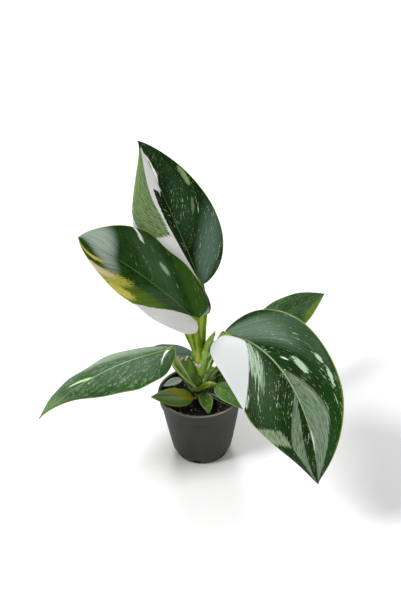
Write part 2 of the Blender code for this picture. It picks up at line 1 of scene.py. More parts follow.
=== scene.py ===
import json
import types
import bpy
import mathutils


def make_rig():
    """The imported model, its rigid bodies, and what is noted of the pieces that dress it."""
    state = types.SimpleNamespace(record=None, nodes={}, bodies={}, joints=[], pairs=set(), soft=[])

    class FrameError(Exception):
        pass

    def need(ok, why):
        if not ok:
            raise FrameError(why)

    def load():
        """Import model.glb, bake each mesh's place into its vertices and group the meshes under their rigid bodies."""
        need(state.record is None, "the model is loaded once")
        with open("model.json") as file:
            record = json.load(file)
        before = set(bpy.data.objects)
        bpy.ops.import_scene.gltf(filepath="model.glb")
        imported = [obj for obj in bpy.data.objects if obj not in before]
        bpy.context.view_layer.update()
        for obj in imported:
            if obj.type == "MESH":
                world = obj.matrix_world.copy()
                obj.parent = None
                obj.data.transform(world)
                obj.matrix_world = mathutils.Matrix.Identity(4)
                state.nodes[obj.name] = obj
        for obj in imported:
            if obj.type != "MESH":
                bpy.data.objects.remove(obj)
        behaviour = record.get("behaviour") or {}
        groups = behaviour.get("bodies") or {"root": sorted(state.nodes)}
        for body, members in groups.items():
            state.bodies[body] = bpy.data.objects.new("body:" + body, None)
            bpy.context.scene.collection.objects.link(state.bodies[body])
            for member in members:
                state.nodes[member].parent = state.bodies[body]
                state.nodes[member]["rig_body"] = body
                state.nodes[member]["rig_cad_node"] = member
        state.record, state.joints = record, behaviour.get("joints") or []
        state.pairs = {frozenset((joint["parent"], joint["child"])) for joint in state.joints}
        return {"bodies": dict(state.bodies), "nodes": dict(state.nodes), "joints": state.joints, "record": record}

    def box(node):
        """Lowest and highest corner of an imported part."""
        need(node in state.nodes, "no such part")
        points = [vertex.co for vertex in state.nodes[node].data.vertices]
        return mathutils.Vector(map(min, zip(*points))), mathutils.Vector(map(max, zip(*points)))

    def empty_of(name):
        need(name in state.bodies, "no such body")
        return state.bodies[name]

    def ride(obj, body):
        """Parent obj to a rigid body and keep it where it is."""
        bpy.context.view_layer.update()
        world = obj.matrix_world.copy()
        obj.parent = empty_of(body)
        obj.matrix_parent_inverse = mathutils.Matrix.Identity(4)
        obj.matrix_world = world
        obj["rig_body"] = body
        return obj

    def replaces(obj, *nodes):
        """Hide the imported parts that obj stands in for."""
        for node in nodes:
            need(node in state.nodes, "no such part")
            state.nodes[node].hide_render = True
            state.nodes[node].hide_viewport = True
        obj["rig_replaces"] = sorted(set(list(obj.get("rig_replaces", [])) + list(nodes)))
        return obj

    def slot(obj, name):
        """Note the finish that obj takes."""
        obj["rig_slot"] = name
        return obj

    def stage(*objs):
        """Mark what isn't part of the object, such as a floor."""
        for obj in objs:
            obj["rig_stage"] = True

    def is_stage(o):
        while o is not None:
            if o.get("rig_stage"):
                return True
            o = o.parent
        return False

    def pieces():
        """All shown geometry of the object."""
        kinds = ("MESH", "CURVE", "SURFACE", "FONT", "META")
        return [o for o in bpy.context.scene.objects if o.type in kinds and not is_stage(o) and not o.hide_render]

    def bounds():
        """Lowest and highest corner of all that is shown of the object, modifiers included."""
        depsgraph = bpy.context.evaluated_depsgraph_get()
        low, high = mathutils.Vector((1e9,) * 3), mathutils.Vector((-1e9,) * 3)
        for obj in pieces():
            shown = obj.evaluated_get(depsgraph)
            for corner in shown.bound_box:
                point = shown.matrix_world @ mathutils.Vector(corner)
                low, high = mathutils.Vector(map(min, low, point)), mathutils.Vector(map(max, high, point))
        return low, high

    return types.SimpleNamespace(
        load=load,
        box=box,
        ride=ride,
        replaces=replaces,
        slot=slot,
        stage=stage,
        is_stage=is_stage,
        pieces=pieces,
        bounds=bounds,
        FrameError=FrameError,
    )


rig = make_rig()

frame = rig.load()

import json
import math

import bmesh
import bpy
import numpy as np
from mathutils import Matrix, Vector

CAD_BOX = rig.bounds()

# A young variegated philodendron in a thin plastic nursery pot.
# Metres, +Z up, origin in the middle of the pot's base. Headings are degrees seen from above.

# ---------------------------------------------------------------- sizes
POT_HEIGHT = 0.052
RIM_RADIUS = 0.030
BASE_RADIUS = 0.0175
SHOULDER_RADIUS = 0.0213
SHOULDER_HEIGHT = 0.007
WALL = 0.0009
BAND_HEIGHT = 0.008
BAND_STEP = 0.0011
WALL_BULGE = 0.0004
DRAIN_COUNT = 6
DRAIN_TURN = 18.0
SOIL_LEVEL = 0.046
SOIL_FALL = 0.0010
STEM_RADIUS = 0.0045
STEM_HEIGHT = 0.018
STEM_FOOT = np.array((0.0, 0.005, SOIL_LEVEL))
FIT = 0.0003
BLADE_THICKNESS = 0.0005
SHEATH_THICKNESS = 0.0007
LOBE_POWER = 1.6
LOBE_LENGTH = 0.35
BASE_SWELL = 2.6                 # how full a blade is below its widest place
TIP_NARROWS = 1.7                # how soon it narrows above it
NARROWEST = 0.012                # width at the joint and the tip, as a share of the widest
CURL_STEPS = 24
RIB_STEPS = 40
GROOVE_DEPTH = 0.007             # of the midrib's groove, as a share of the leaf's length
GROOVE_WIDTH = 0.011
QUILT_HEIGHT = 0.0003            # how far the side veins lift the blade, as a share of its length
MARGIN_WAVE = 0.0075             # and how far its margin waves
VEIN_GAP = 0.0045                # between two main side veins, along the midrib
VEIN_LEAN = 0.36                 # how far a side vein runs towards the tip on its way out,
VEIN_BEND = 0.12                 # and how much more near the margin, as shares of the leaf's length
VEIN_SLANT = 0.42                # the two together, halfway out
BIG_LEAF = 0.04                  # leaves longer than this get the finer mesh
FLOOR_HEIGHT = 0.0012            # of the pot's inside
DRAIN_SIZE = (0.0054, 0.0050, 0.0026)
DRAIN_MIDDLE = (0.0203, 0.0, 0.0026)
SOIL_RADIUS = 0.027
SOIL_EDGE = 0.0276               # where the crumbs' bed has sunk by SOIL_FALL
CRUMB_RADIUS = 0.0272
SPEAR_FOOT = (0.0015, -0.0040, 0.020)
SPEAR_TIP = (0.0112, -0.0040, 0.0545)
FULL_TURN = 2.0 * math.pi
STALK_TAPER = 0.75
STALK_REACH = 0.40

# The leaves: where each stalk leaves the stem, where it meets its blade, and how the blade lies.
# Pairs are for the left and right halves, seen from the joint towards the tip. A leaf starts out
# along heading and climb, and turns by sweep and droop over its length. Each half rises by fold and
# bends back by curl. Widest is where along the leaf its half width is reached, base and tip say how
# slowly it gets there and goes again, and lobe is how far it reaches back past the joint.
LEAVES = {
    "top_leaf": dict(
        node=None, seat=0.0036, leave=65, rise=88, stalk=0.0025,
        joint=(0.003, 0.005, 0.087), meet=(180, 84),
        heading=182, climb=73, length=0.116, sweep=11, droop=3, roll=-84, twist=8,
        half=(0.030, 0.027), fold=(38, 18), curl=(-26, -18), lobe=(0.0, 0.0),
        base=(0.7, 0.7), widest=(0.62, 0.42), tip=(1.5, 0.85)),
    "upper_left_leaf": dict(
        node=None, seat=0.0029, leave=222, rise=88, stalk=0.0031,
        joint=(-0.001, -0.013, 0.071), meet=(250, 66),
        heading=204, climb=55, length=0.115, sweep=2, droop=14, roll=-30, twist=-14,
        half=(0.028, 0.0248), fold=(12, 36), curl=(-16, -8), lobe=(0.012, 0.022),
        base=(0.6, 0.3), widest=(0.50, 0.60), tip=(0.64, 0.78)),
    "right_leaf": dict(
        node=0.016, leave=315, rise=78, stalk=0.0026,
        joint=(0.0165, -0.017, 0.062), meet=(310, 45),
        heading=-44, climb=23, length=0.137, sweep=-32, droop=103, roll=14, twist=40,
        half=(0.035, 0.0345), fold=(38, 10), curl=(-26, -12), lobe=(0.004, 0.012),
        base=(0.8, 0.48), widest=(0.62, 0.56), tip=(1.3, 0.85)),
    "rear_right_leaf": dict(
        node=0.008, leave=35, rise=50, stalk=0.0018,
        joint=(0.0345, 0.022, 0.022), meet=(30, 25),
        heading=40, climb=27, length=0.086, sweep=6, droop=44, roll=24, twist=8,
        half=(0.0125, 0.0155), fold=(14, 8), curl=(-20, -24), lobe=(0.003, 0.003),
        base=(0.7, 0.7), widest=(0.42, 0.48), tip=(1.2, 1.1)),
    "left_leaf": dict(
        node=0.005, leave=208, rise=44, stalk=0.0021,
        joint=(-0.0175, -0.009, 0.046), meet=(200, 98),
        heading=200, climb=3, length=0.111, sweep=37, droop=9, roll=8, twist=6,
        half=(0.031, 0.0275), fold=(4, 2), curl=(-30, -30), lobe=(0.0, 0.0),
        base=(0.7, 0.7), widest=(0.38, 0.42), tip=(1.9, 1.3)),
    "rear_left_leaf": dict(
        node=0.008, leave=125, rise=50, stalk=0.0016,
        joint=(-0.004, 0.017, 0.020), meet=(165, 25),
        heading=172, climb=6, length=0.050, sweep=6, droop=24, roll=-4, twist=0,
        half=(0.011, 0.011), fold=(12, 12), curl=(-20, -20), lobe=(0.001, 0.001),
        base=(0.7, 0.7), widest=(0.42, 0.42), tip=(1.0, 1.0)),
    "basal_left_leaf": dict(
        node=0.0025, leave=245, rise=20, stalk=0.0011,
        joint=(-0.005, -0.013, 0.0055), meet=(185, 8),
        heading=182, climb=15, length=0.030, sweep=6, droop=14, roll=-12, twist=0,
        half=(0.0095, 0.0075), fold=(12, 12), curl=(-22, -22), lobe=(0.0, 0.0),
        base=(0.7, 0.7), widest=(0.42, 0.42), tip=(1.0, 1.0)),
    "basal_front_leaf": dict(
        node=0.0025, leave=278, rise=25, stalk=0.0011,
        joint=(0.0020, -0.0070, 0.0055), meet=(278, 15),
        heading=279, climb=10, length=0.0205, sweep=2, droop=40, roll=0, twist=0,
        half=(0.005, 0.005), fold=(18, 18), curl=(-25, -25), lobe=(0.0, 0.0),
        base=(0.7, 0.7), widest=(0.45, 0.45), tip=(1.0, 1.0)),
    "basal_right_leaf": dict(
        node=0.006, leave=300, rise=20, stalk=0.0015,
        joint=(0.0105, -0.005, 0.0110), meet=(330, 10),
        heading=-50, climb=4, length=0.033, sweep=-2, droop=22, roll=8, twist=0,
        half=(0.009, 0.008), fold=(16, 16), curl=(-18, -18), lobe=(0.0, 0.0),
        base=(1.0, 1.0), widest=(0.42, 0.42), tip=(1.0, 1.0)),
    "basal_dark_leaf": dict(
        node=0.0025, leave=318, rise=15, stalk=0.0010,
        joint=(0.0050, -0.0050, 0.0045), meet=(312, 8),
        heading=-46, climb=2, length=0.0215, sweep=6, droop=12, roll=4, twist=0,
        half=(0.0062, 0.0026), fold=(20, 20), curl=(-18, -18), lobe=(0.0, 0.0),
        base=(0.7, 0.7), widest=(0.45, 0.45), tip=(1.0, 1.0)),
    "basal_folded_leaf": dict(
        node=0.006, leave=347, rise=15, stalk=0.0011,
        joint=(0.0105, 0.0005, 0.0125), meet=(5, 50),
        heading=6, climb=48, length=0.014, sweep=-10, droop=110, roll=0, twist=0,
        half=(0.006, 0.006), fold=(-22, -22), curl=(-40, -40), lobe=(0.0, 0.0),
        base=(0.7, 0.7), widest=(0.45, 0.45), tip=(0.8, 0.8)),
    "basal_pale_leaf": dict(
        node=0.0025, leave=182, rise=15, stalk=0.0010,
        joint=(-0.0130, 0.0076, 0.0064), meet=(190, 5),
        heading=198, climb=-2, length=0.0145, sweep=6, droop=8, roll=-16, twist=0,
        half=(0.0034, 0.0034), fold=(24, 24), curl=(-20, -20), lobe=(0.0, 0.0),
        base=(0.7, 0.7), widest=(0.45, 0.45), tip=(1.0, 1.0)),
}


# ---------------------------------------------------------------- camera, light and floor
def place_camera():
    """Stands in front of the plant and a little above it, tilted a touch clockwise."""
    place = (0.002, -0.6534, 0.5534)
    pitch = math.radians(33.1)
    tilt = math.radians(1.8)
    look = Vector((0.0, math.cos(pitch), -math.sin(pitch)))
    right = Vector((1.0, 0.0, 0.0))
    up = right.cross(look)
    right_side = right * math.cos(tilt) - up * math.sin(tilt)
    top_side = up * math.cos(tilt) + right * math.sin(tilt)
    eye = bpy.data.cameras.new("view_of_the_plant")
    eye.lens = 70.0
    eye.sensor_width = 36.0
    eye.clip_start = 0.02
    camera = bpy.data.objects.new("view_of_the_plant", eye)
    turn = Matrix((right_side, top_side, -look)).transposed().to_4x4()
    camera.matrix_world = Matrix.Translation(place) @ turn
    bpy.context.scene.collection.objects.link(camera)
    bpy.context.scene.camera = camera


def soft_light(name, place, size, power):
    """A round white panel that faces the middle of the plant."""
    aim = Vector((0.0, 0.0, 0.12))
    lamp = bpy.data.lights.new(name, "AREA")
    lamp.shape = "DISK"
    lamp.size = size
    lamp.energy = power
    item = bpy.data.objects.new(name, lamp)
    item.location = place
    item.rotation_euler = (aim - Vector(place)).to_track_quat("-Z", "Y").to_euler()
    bpy.context.scene.collection.objects.link(item)


def light_the_studio():
    sky = bpy.data.worlds.new("pale_studio")
    sky.use_nodes = True
    glow = sky.node_tree.nodes["Background"]
    glow.inputs["Color"].default_value = (1.0, 1.0, 1.0, 1.0)
    glow.inputs["Strength"].default_value = 0.52
    bpy.context.scene.world = sky
    soft_light("window_light", (-0.9, -0.5, 1.3), 0.55, 21.0)
    soft_light("back_light", (-0.1, 1.2, 0.9), 0.6, 10.0)
    bpy.context.scene.view_settings.view_transform = "Standard"


def lay_floor():
    cage = bmesh.new()
    bmesh.ops.create_circle(cage, cap_ends=True, segments=96, radius=6.0)
    mesh = bpy.data.meshes.new("studio_floor")
    cage.to_mesh(mesh)
    cage.free()
    floor = bpy.data.objects.new("studio_floor", mesh)
    floor.location = (0.0, 0.0, -0.0001)
    bpy.context.scene.collection.objects.link(floor)
    paint = bpy.data.materials.new("pale_floor")
    paint.use_nodes = True
    shader = paint.node_tree.nodes["Principled BSDF"]
    shader.inputs["Base Color"].default_value = (0.93, 0.93, 0.93, 1.0)
    shader.inputs["Roughness"].default_value = 0.9
    shader.inputs["Specular IOR Level"].default_value = 0.1
    floor.data.materials.append(paint)
    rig.stage(floor)


place_camera()
light_the_studio()
lay_floor()


# ---------------------------------------------------------------- writing materials
def tint(red, green, blue):
    """A colour as a painter reads it off a chart, 0 to 255, made linear for the shader."""
    shares = [value / 255.0 for value in (red, green, blue)]
    linear = [s / 12.92 if s <= 0.04045 else ((s + 0.055) / 1.055) ** 2.4 for s in shares]
    return (*linear, 1.0)


class Nodes:
    """Places shader nodes in one tree, so that a material or a group reads as a list of steps."""

    def __init__(self, tree):
        self.tree = tree

    def put(self, socket, value):
        if isinstance(value, bpy.types.NodeSocket):
            self.tree.links.new(value, socket)
        else:
            socket.default_value = value

    def node(self, kind, **settings):
        item = self.tree.nodes.new(kind)
        for name, value in settings.items():
            setattr(item, name, value)
        return item

    def math(self, operation, first, second=None, third=None, clamp=False):
        item = self.node("ShaderNodeMath", operation=operation, use_clamp=clamp)
        for socket, value in zip(item.inputs, (first, second, third)):
            if value is not None:
                self.put(socket, value)
        return item.outputs[0]

    def plus(self, first, second):
        return self.math("ADD", first, second)

    def minus(self, first, second):
        return self.math("SUBTRACT", first, second)

    def times(self, first, second):
        return self.math("MULTIPLY", first, second)

    def fade(self, value, start, end):
        """0 below start and 1 above end, smooth between them."""
        item = self.node("ShaderNodeMapRange", interpolation_type="SMOOTHSTEP")
        self.put(item.inputs["Value"], value)
        self.put(item.inputs["From Min"], start)
        self.put(item.inputs["From Max"], end)
        return item.outputs["Result"]

    def blend(self, share, first, second):
        item = self.node("ShaderNodeMix", data_type="RGBA")
        self.put(item.inputs[0], share)
        self.put(item.inputs[6], first)
        self.put(item.inputs[7], second)
        return item.outputs[2]

    def split(self, vector):
        item = self.node("ShaderNodeSeparateXYZ")
        self.put(item.inputs[0], vector)
        return item.outputs

    def place(self, x, y, z=0.0):
        item = self.node("ShaderNodeCombineXYZ")
        for socket, value in zip(item.inputs, (x, y, z)):
            self.put(socket, value)
        return item.outputs[0]

    def noise(self, where, scale, detail=2.0, rough=0.5):
        item = self.node("ShaderNodeTexNoise")
        self.put(item.inputs["Vector"], where)
        self.put(item.inputs["Scale"], scale)
        self.put(item.inputs["Detail"], detail)
        self.put(item.inputs["Roughness"], rough)
        return item.outputs["Fac"]

    def group(self, effect, spot=None, **values):
        """Places an effect and returns what it puts out. Sockets named as spot's own are linked to them."""
        item = self.node("ShaderNodeGroup", node_tree=effect)
        for name in spot.keys() if spot else ():
            if name in item.inputs and name not in values:
                self.put(item.inputs[name], spot[name])
        for name, value in values.items():
            self.put(item.inputs[name.replace("_", " ")], value)
        return item.outputs


def new_effect(name, inputs, outputs):
    """An empty shader group with named sockets. Returns it, its Nodes, what comes in and what goes out."""
    effect = bpy.data.node_groups.new(name, "ShaderNodeTree")
    kinds = {"colour": "NodeSocketColor", "vector": "NodeSocketVector"}
    for label, default in inputs.items():
        kind = "NodeSocketFloat"
        if isinstance(default, str):
            kind = kinds[default]
        socket = effect.interface.new_socket(label, in_out="INPUT", socket_type=kind)
        if kind == "NodeSocketFloat":
            socket.default_value = default
    for label in outputs:
        kind = "NodeSocketColor" if label == "Colour" else "NodeSocketFloat"
        effect.interface.new_socket(label, in_out="OUTPUT", socket_type=kind)
    steps = Nodes(effect)
    came = steps.node("NodeGroupInput").outputs
    goes = steps.node("NodeGroupOutput").inputs
    return effect, steps, came, goes


def new_material(name):
    """A material with its Nodes and its shader."""
    finish = bpy.data.materials.new(name)
    finish.use_nodes = True
    return finish, Nodes(finish.node_tree), finish.node_tree.nodes["Principled BSDF"]


def join_up(steps, shader, colour, grain, swing, rough, height, depth, strength):
    """Feeds a shader its colour, a roughness that swings with the grain, and the relief of a height."""
    steps.put(shader.inputs["Base Color"], colour)
    steps.put(shader.inputs["Roughness"], steps.math("MULTIPLY_ADD", grain, swing, rough))
    bump = steps.node("ShaderNodeBump")
    bump.inputs["Strength"].default_value = strength
    bump.inputs["Distance"].default_value = depth
    steps.put(bump.inputs["Height"], height)
    steps.put(shader.inputs["Normal"], bump.outputs["Normal"])


# ---------------------------------------------------------------- effects shared by the finishes
def make_leaf_place():
    """Where a point lies on a leaf: Along from joint to tip, Across from margin to margin."""
    effect, steps, _, goes = new_effect("leaf_place", {}, ("Along", "Across", "Out", "Vein"))
    flat = steps.split(steps.node("ShaderNodeUVMap", uv_map="blade").outputs[0])
    along = flat[0]
    across = steps.math("MULTIPLY_ADD", flat[1], 2.0, -1.0)
    out = steps.math("ABSOLUTE", across)
    lean = steps.math("MULTIPLY_ADD", out, VEIN_BEND, VEIN_LEAN)
    steps.put(goes["Along"], along)
    steps.put(goes["Across"], across)
    steps.put(goes["Out"], out)
    steps.put(goes["Vein"], steps.minus(along, steps.times(lean, out)))
    return effect


def make_leaf_sector():
    """A zone between two lines that lean towards the tip, on one side, with teeth that follow the veins."""
    inputs = {"Along": 0.0, "Across": 0.0, "Side": 1.0, "Start": 0.0, "Start Lean": 0.36, "End": 1.0,
              "End Lean": 0.36, "Inner": 0.0, "Outer": 1.1, "Teeth": 0.1, "Grain": 60.0}
    effect, steps, came, goes = new_effect("leaf_sector", inputs, ("Mask",))
    out = steps.times(came["Across"], came["Side"])
    vein = steps.math("MULTIPLY_ADD", out, -VEIN_SLANT, came["Along"])
    strip = steps.noise(steps.place(steps.times(vein, came["Grain"]), came["Side"]), 1.0, 3.0, 0.7)
    crumb = steps.noise(steps.place(steps.times(vein, came["Grain"]), out), 2.6, 3.0, 0.7)
    jag = steps.times(steps.times(steps.minus(strip, 0.5), came["Teeth"]), 4.0)
    wobble = steps.times(steps.minus(crumb, 0.5), 0.03)
    start = steps.math("MULTIPLY_ADD", out, came["Start Lean"], came["Start"])
    end = steps.math("MULTIPLY_ADD", out, came["End Lean"], came["End"])
    here = steps.plus(came["Along"], steps.math("MULTIPLY_ADD", jag, 0.3, wobble))
    over_start = steps.minus(here, start)
    under_end = steps.minus(end, here)
    over_inner = steps.plus(steps.minus(out, came["Inner"]), jag)
    under_outer = steps.plus(steps.minus(came["Outer"], out), jag)
    nearest = steps.math("MINIMUM", over_start, under_end)
    nearest = steps.math("MINIMUM", nearest, over_inner)
    nearest = steps.math("MINIMUM", nearest, under_outer)
    steps.put(goes["Mask"], steps.fade(nearest, 0.0, 0.010))
    return effect


def make_leaf_patch():
    """An island of another colour with a ragged edge, longer along the veins."""
    inputs = {"Along": 0.0, "Across": 0.0, "Middle Along": 0.5, "Middle Across": 0.5, "Length": 0.03,
              "Width": 0.1, "Ragged": 0.5}
    effect, steps, came, goes = new_effect("leaf_patch", inputs, ("Mask",))
    over = steps.minus(came["Across"], came["Middle Across"])
    side = steps.math("SIGN", came["Middle Across"])
    drift = steps.times(steps.times(over, side), -VEIN_SLANT)
    on = steps.plus(steps.minus(came["Along"], came["Middle Along"]), drift)
    far_on = steps.math("DIVIDE", on, came["Length"])
    far_over = steps.math("DIVIDE", over, came["Width"])
    reach = steps.math("SQRT", steps.plus(steps.times(far_on, far_on), steps.times(far_over, far_over)))
    ragged = steps.noise(steps.place(steps.times(on, 90.0), steps.times(over, 14.0)), 1.0, 4.0, 0.7)
    reach = steps.plus(reach, steps.times(steps.minus(ragged, 0.5), steps.times(came["Ragged"], 3.0)))
    steps.put(goes["Mask"], steps.minus(1.0, steps.fade(reach, 0.85, 1.1)))
    return effect


def make_leaf_sheen_and_tint():
    """A soft oval of another colour, streaked along the veins. Some are painted sheen, paler where light glances off a
    blade; others are the leaf's own tints.
    """
    inputs = {"Along": 0.0, "Across": 0.0, "Middle Along": 0.5, "Middle Across": 0.0, "Length": 0.2,
              "Width": 0.5, "Lean": 0.42}
    effect, steps, came, goes = new_effect("leaf_sheen_and_tint", inputs, ("Mask",))
    over = steps.minus(came["Across"], came["Middle Across"])
    drift = steps.times(over, came["Lean"])
    on = steps.minus(steps.minus(came["Along"], came["Middle Along"]), drift)
    far_on = steps.math("DIVIDE", on, came["Length"])
    far_over = steps.math("DIVIDE", over, came["Width"])
    reach = steps.plus(steps.times(far_on, far_on), steps.times(far_over, far_over))
    vein = steps.math("MULTIPLY_ADD", steps.math("ABSOLUTE", came["Across"]), -VEIN_SLANT, came["Along"])
    silk = steps.noise(steps.place(steps.times(vein, 150.0), came["Across"]), 1.0, 2.0)
    soft = steps.minus(1.0, steps.fade(reach, 0.0, 1.0))
    silky = steps.math("MULTIPLY_ADD", silk, 2.2, -0.25)
    steps.put(goes["Mask"], steps.math("MULTIPLY", soft, silky, clamp=True))
    return effect


def make_leaf_silk():
    """Broad streaks of deeper and lighter green drawn out along the veins."""
    inputs = {"Vein": 0.0, "Across": 0.0, "Cloud": 0.5}
    effect, steps, came, goes = new_effect("leaf_silk", inputs, ("Mask",))
    drawn_out = steps.place(steps.times(came["Vein"], 70.0), steps.times(came["Across"], 2.5))
    silk = steps.noise(drawn_out, 1.0, 4.0, 0.65)
    both = steps.math("MULTIPLY_ADD", silk, 0.6, steps.times(came["Cloud"], 0.4))
    steps.put(goes["Mask"], steps.fade(both, 0.38, 0.62))
    return effect


def make_sector_grain():
    """What breaks up a pale sector: Pale where it is lighter still, Torn where the green shows through."""
    effect, steps, came, goes = new_effect("sector_grain", {"Vein": 0.0, "Across": 0.0, "Side": 1.0},
                                           ("Pale", "Torn"))
    pale = steps.noise(steps.place(steps.times(came["Vein"], 120.0), came["Across"]), 1.0, 3.0)
    scraps = steps.place(steps.times(came["Vein"], 80.0), steps.times(came["Across"], 9.0), came["Side"])
    torn = steps.noise(scraps, 1.0, 4.0, 0.75)
    steps.put(goes["Pale"], steps.fade(pale, 0.46, 0.60))
    steps.put(goes["Torn"], steps.fade(torn, 0.50, 0.57))
    return effect


def make_leaf_flecks():
    """Short pale strokes and dots that lie along the veins."""
    inputs = {"Vein": 0.0, "Across": 0.0, "Fineness": 1.0, "Amount": 0.2}
    effect, steps, came, goes = new_effect("leaf_flecks", inputs, ("Mask",))
    on = steps.times(came["Vein"], steps.times(came["Fineness"], 95.0))
    over = steps.times(came["Across"], steps.times(came["Fineness"], 11.0))
    spot = steps.noise(steps.place(on, over), 1.0, 3.0, 0.75)
    crowd = steps.noise(steps.place(steps.times(on, 0.12), steps.times(over, 0.2), 3.0), 1.0, 2.0)
    level = steps.plus(spot, steps.times(steps.minus(crowd, 0.5), 0.35))
    edge = steps.minus(0.86, came["Amount"])
    steps.put(goes["Mask"], steps.fade(level, edge, steps.plus(edge, 0.03)))
    return effect


def make_leaf_veins():
    """Fine side veins, the midrib and a thin margin line, and the height they give the surface."""
    inputs = {"Vein": 0.0, "Along": 0.0, "Out": 0.0, "Count": 34.0, "Rib": 0.03, "Edge": 0.972}
    effect, steps, came, goes = new_effect("leaf_veins", inputs, ("Lines", "Midrib", "Margin", "Height"))
    turn = steps.times(came["Vein"], steps.times(came["Count"], FULL_TURN))
    broad = steps.math("COSINE", turn)
    hair = steps.math("COSINE", steps.times(turn, 5.0))
    main_lines = steps.math("POWER", steps.math("MAXIMUM", broad, 0.0), 10.0)
    hair_lines = steps.math("POWER", steps.math("MAXIMUM", hair, 0.0), 3.0)
    lines = steps.math("MAXIMUM", main_lines, steps.times(hair_lines, 0.55))
    rib_width = steps.times(came["Rib"], steps.minus(1.25, came["Along"]))
    midrib = steps.minus(1.0, steps.fade(came["Out"], steps.times(rib_width, 0.35), rib_width))
    margin = steps.fade(came["Out"], came["Edge"], steps.plus(came["Edge"], 0.02))
    rise = steps.math("MULTIPLY_ADD", broad, 0.16, steps.times(hair, 0.05))
    steps.put(goes["Lines"], lines)
    steps.put(goes["Midrib"], midrib)
    steps.put(goes["Margin"], margin)
    steps.put(goes["Height"], steps.minus(rise, midrib))
    return effect


def make_mottle():
    """Soft cloudy variation and fine grain, for colour and roughness. Stretch draws it out along Z."""
    inputs = {"Size": 0.01, "Stretch": 1.0, "Seed": 0.0}
    effect, steps, came, goes = new_effect("mottle", inputs, ("Cloud", "Grain"))
    where = steps.split(steps.node("ShaderNodeTexCoord").outputs["Object"])
    over = steps.math("DIVIDE", 1.0, came["Size"])
    up = steps.math("DIVIDE", over, came["Stretch"])
    spot = steps.place(steps.math("MULTIPLY_ADD", where[0], over, came["Seed"]),
                       steps.times(where[1], over), steps.times(where[2], up))
    steps.put(goes["Cloud"], steps.noise(spot, 1.0, 3.0, 0.55))
    steps.put(goes["Grain"], steps.noise(spot, 9.0, 3.0, 0.6))
    return effect


def make_stalk_stripes():
    """Pale ribs that run the length of a stalk or a sheath, broken and of uneven width."""
    inputs = {"Count": 9.0, "Width": 0.5, "Seed": 0.0}
    effect, steps, came, goes = new_effect("stalk_stripes", inputs, ("Stripes", "Along", "Round", "Height"))
    along, round_it = steps.split(steps.node("ShaderNodeUVMap", uv_map="blade").outputs[0])[:2]
    sway = steps.noise(steps.place(steps.times(along, 3.0), round_it, came["Seed"]), 2.0)
    turn = steps.math("MULTIPLY_ADD", sway, 0.12, round_it)
    wave = steps.math("COSINE", steps.times(turn, steps.times(came["Count"], FULL_TURN)))
    drawn_out = steps.place(steps.times(along, 5.0), steps.times(turn, 7.0), came["Seed"])
    patchy = steps.noise(drawn_out, 1.5, 3.0)
    band = steps.math("MULTIPLY_ADD", patchy, 1.6, steps.minus(wave, 0.9))
    fine = steps.math("COSINE", steps.times(turn, FULL_TURN * 46.0))
    steps.put(goes["Stripes"], steps.fade(band, 0.0, came["Width"]))
    steps.put(goes["Along"], along)
    steps.put(goes["Round"], round_it)
    steps.put(goes["Height"], steps.math("MULTIPLY_ADD", fine, 0.25, wave))
    return effect


LEAF_PLACE = make_leaf_place()
LEAF_SECTOR = make_leaf_sector()
LEAF_PATCH = make_leaf_patch()
LEAF_SHEEN_AND_TINT = make_leaf_sheen_and_tint()
LEAF_SILK = make_leaf_silk()
SECTOR_GRAIN = make_sector_grain()
LEAF_FLECKS = make_leaf_flecks()
LEAF_VEINS = make_leaf_veins()
MOTTLE = make_mottle()
STALK_STRIPES = make_stalk_stripes()


# ---------------------------------------------------------------- leaf colours
WHITE = tint(200, 204, 204)
BRIGHT = tint(252, 251, 248)
CREAM = tint(222, 220, 190)
MINT = tint(158, 182, 154)
GREY_GREEN = tint(92, 114, 86)
FLECK = tint(176, 198, 158)
LIME = tint(150, 172, 60)
DEEP = tint(2, 24, 0)
GREEN = tint(15, 50, 3)
WHITE_FROM = 0.55                # a sector whose colour is lighter than this stays clean
MID_GREEN = tint(34, 78, 22)
YELLOW = tint(206, 196, 96)
BUFF = tint(224, 204, 172)


def two_greens(steps, spot, clouds, deep, ground):
    """Two greens drawn out along the veins."""
    return steps.blend(steps.group(LEAF_SILK, spot, Cloud=clouds["Cloud"])[0], deep, ground)


def paint_zones(steps, spot, colour, zones, patches, veil=None):
    """Lays the leaf's sectors and islands over its ground colour. Returns it and where it is white."""
    ground = colour
    white = 0.0
    for shade, side, start, start_lean, end, end_lean, inner, outer, teeth, grain in zones:
        mask = steps.group(LEAF_SECTOR, spot, Side=side, Start=start, Start_Lean=start_lean, End=end,
                           End_Lean=end_lean, Inner=inner, Outer=outer, Teeth=teeth, Grain=grain)[0]
        if shade is None:
            colour = steps.blend(mask, colour, ground)
            continue
        shade = shade if veil is None else tuple(0.6 * c + 0.4 * v for c, v in zip(shade, veil))
        if min(shade[:3]) < WHITE_FROM:
            grains = steps.group(SECTOR_GRAIN, spot, Side=side)
            shade = steps.blend(steps.times(grains["Pale"], 0.2), shade, WHITE)
            shade = steps.blend(steps.times(grains["Torn"], 0.6), shade, ground)
        else:
            white = steps.math("MAXIMUM", white, mask)
        colour = steps.blend(mask, colour, shade)
    for shade, at, over, length, width, ragged in patches:
        mask = steps.group(LEAF_PATCH, spot, Middle_Along=at, Middle_Across=over, Length=length, Width=width,
                           Ragged=ragged)[0]
        colour = steps.blend(mask, colour, shade)
    return colour, white


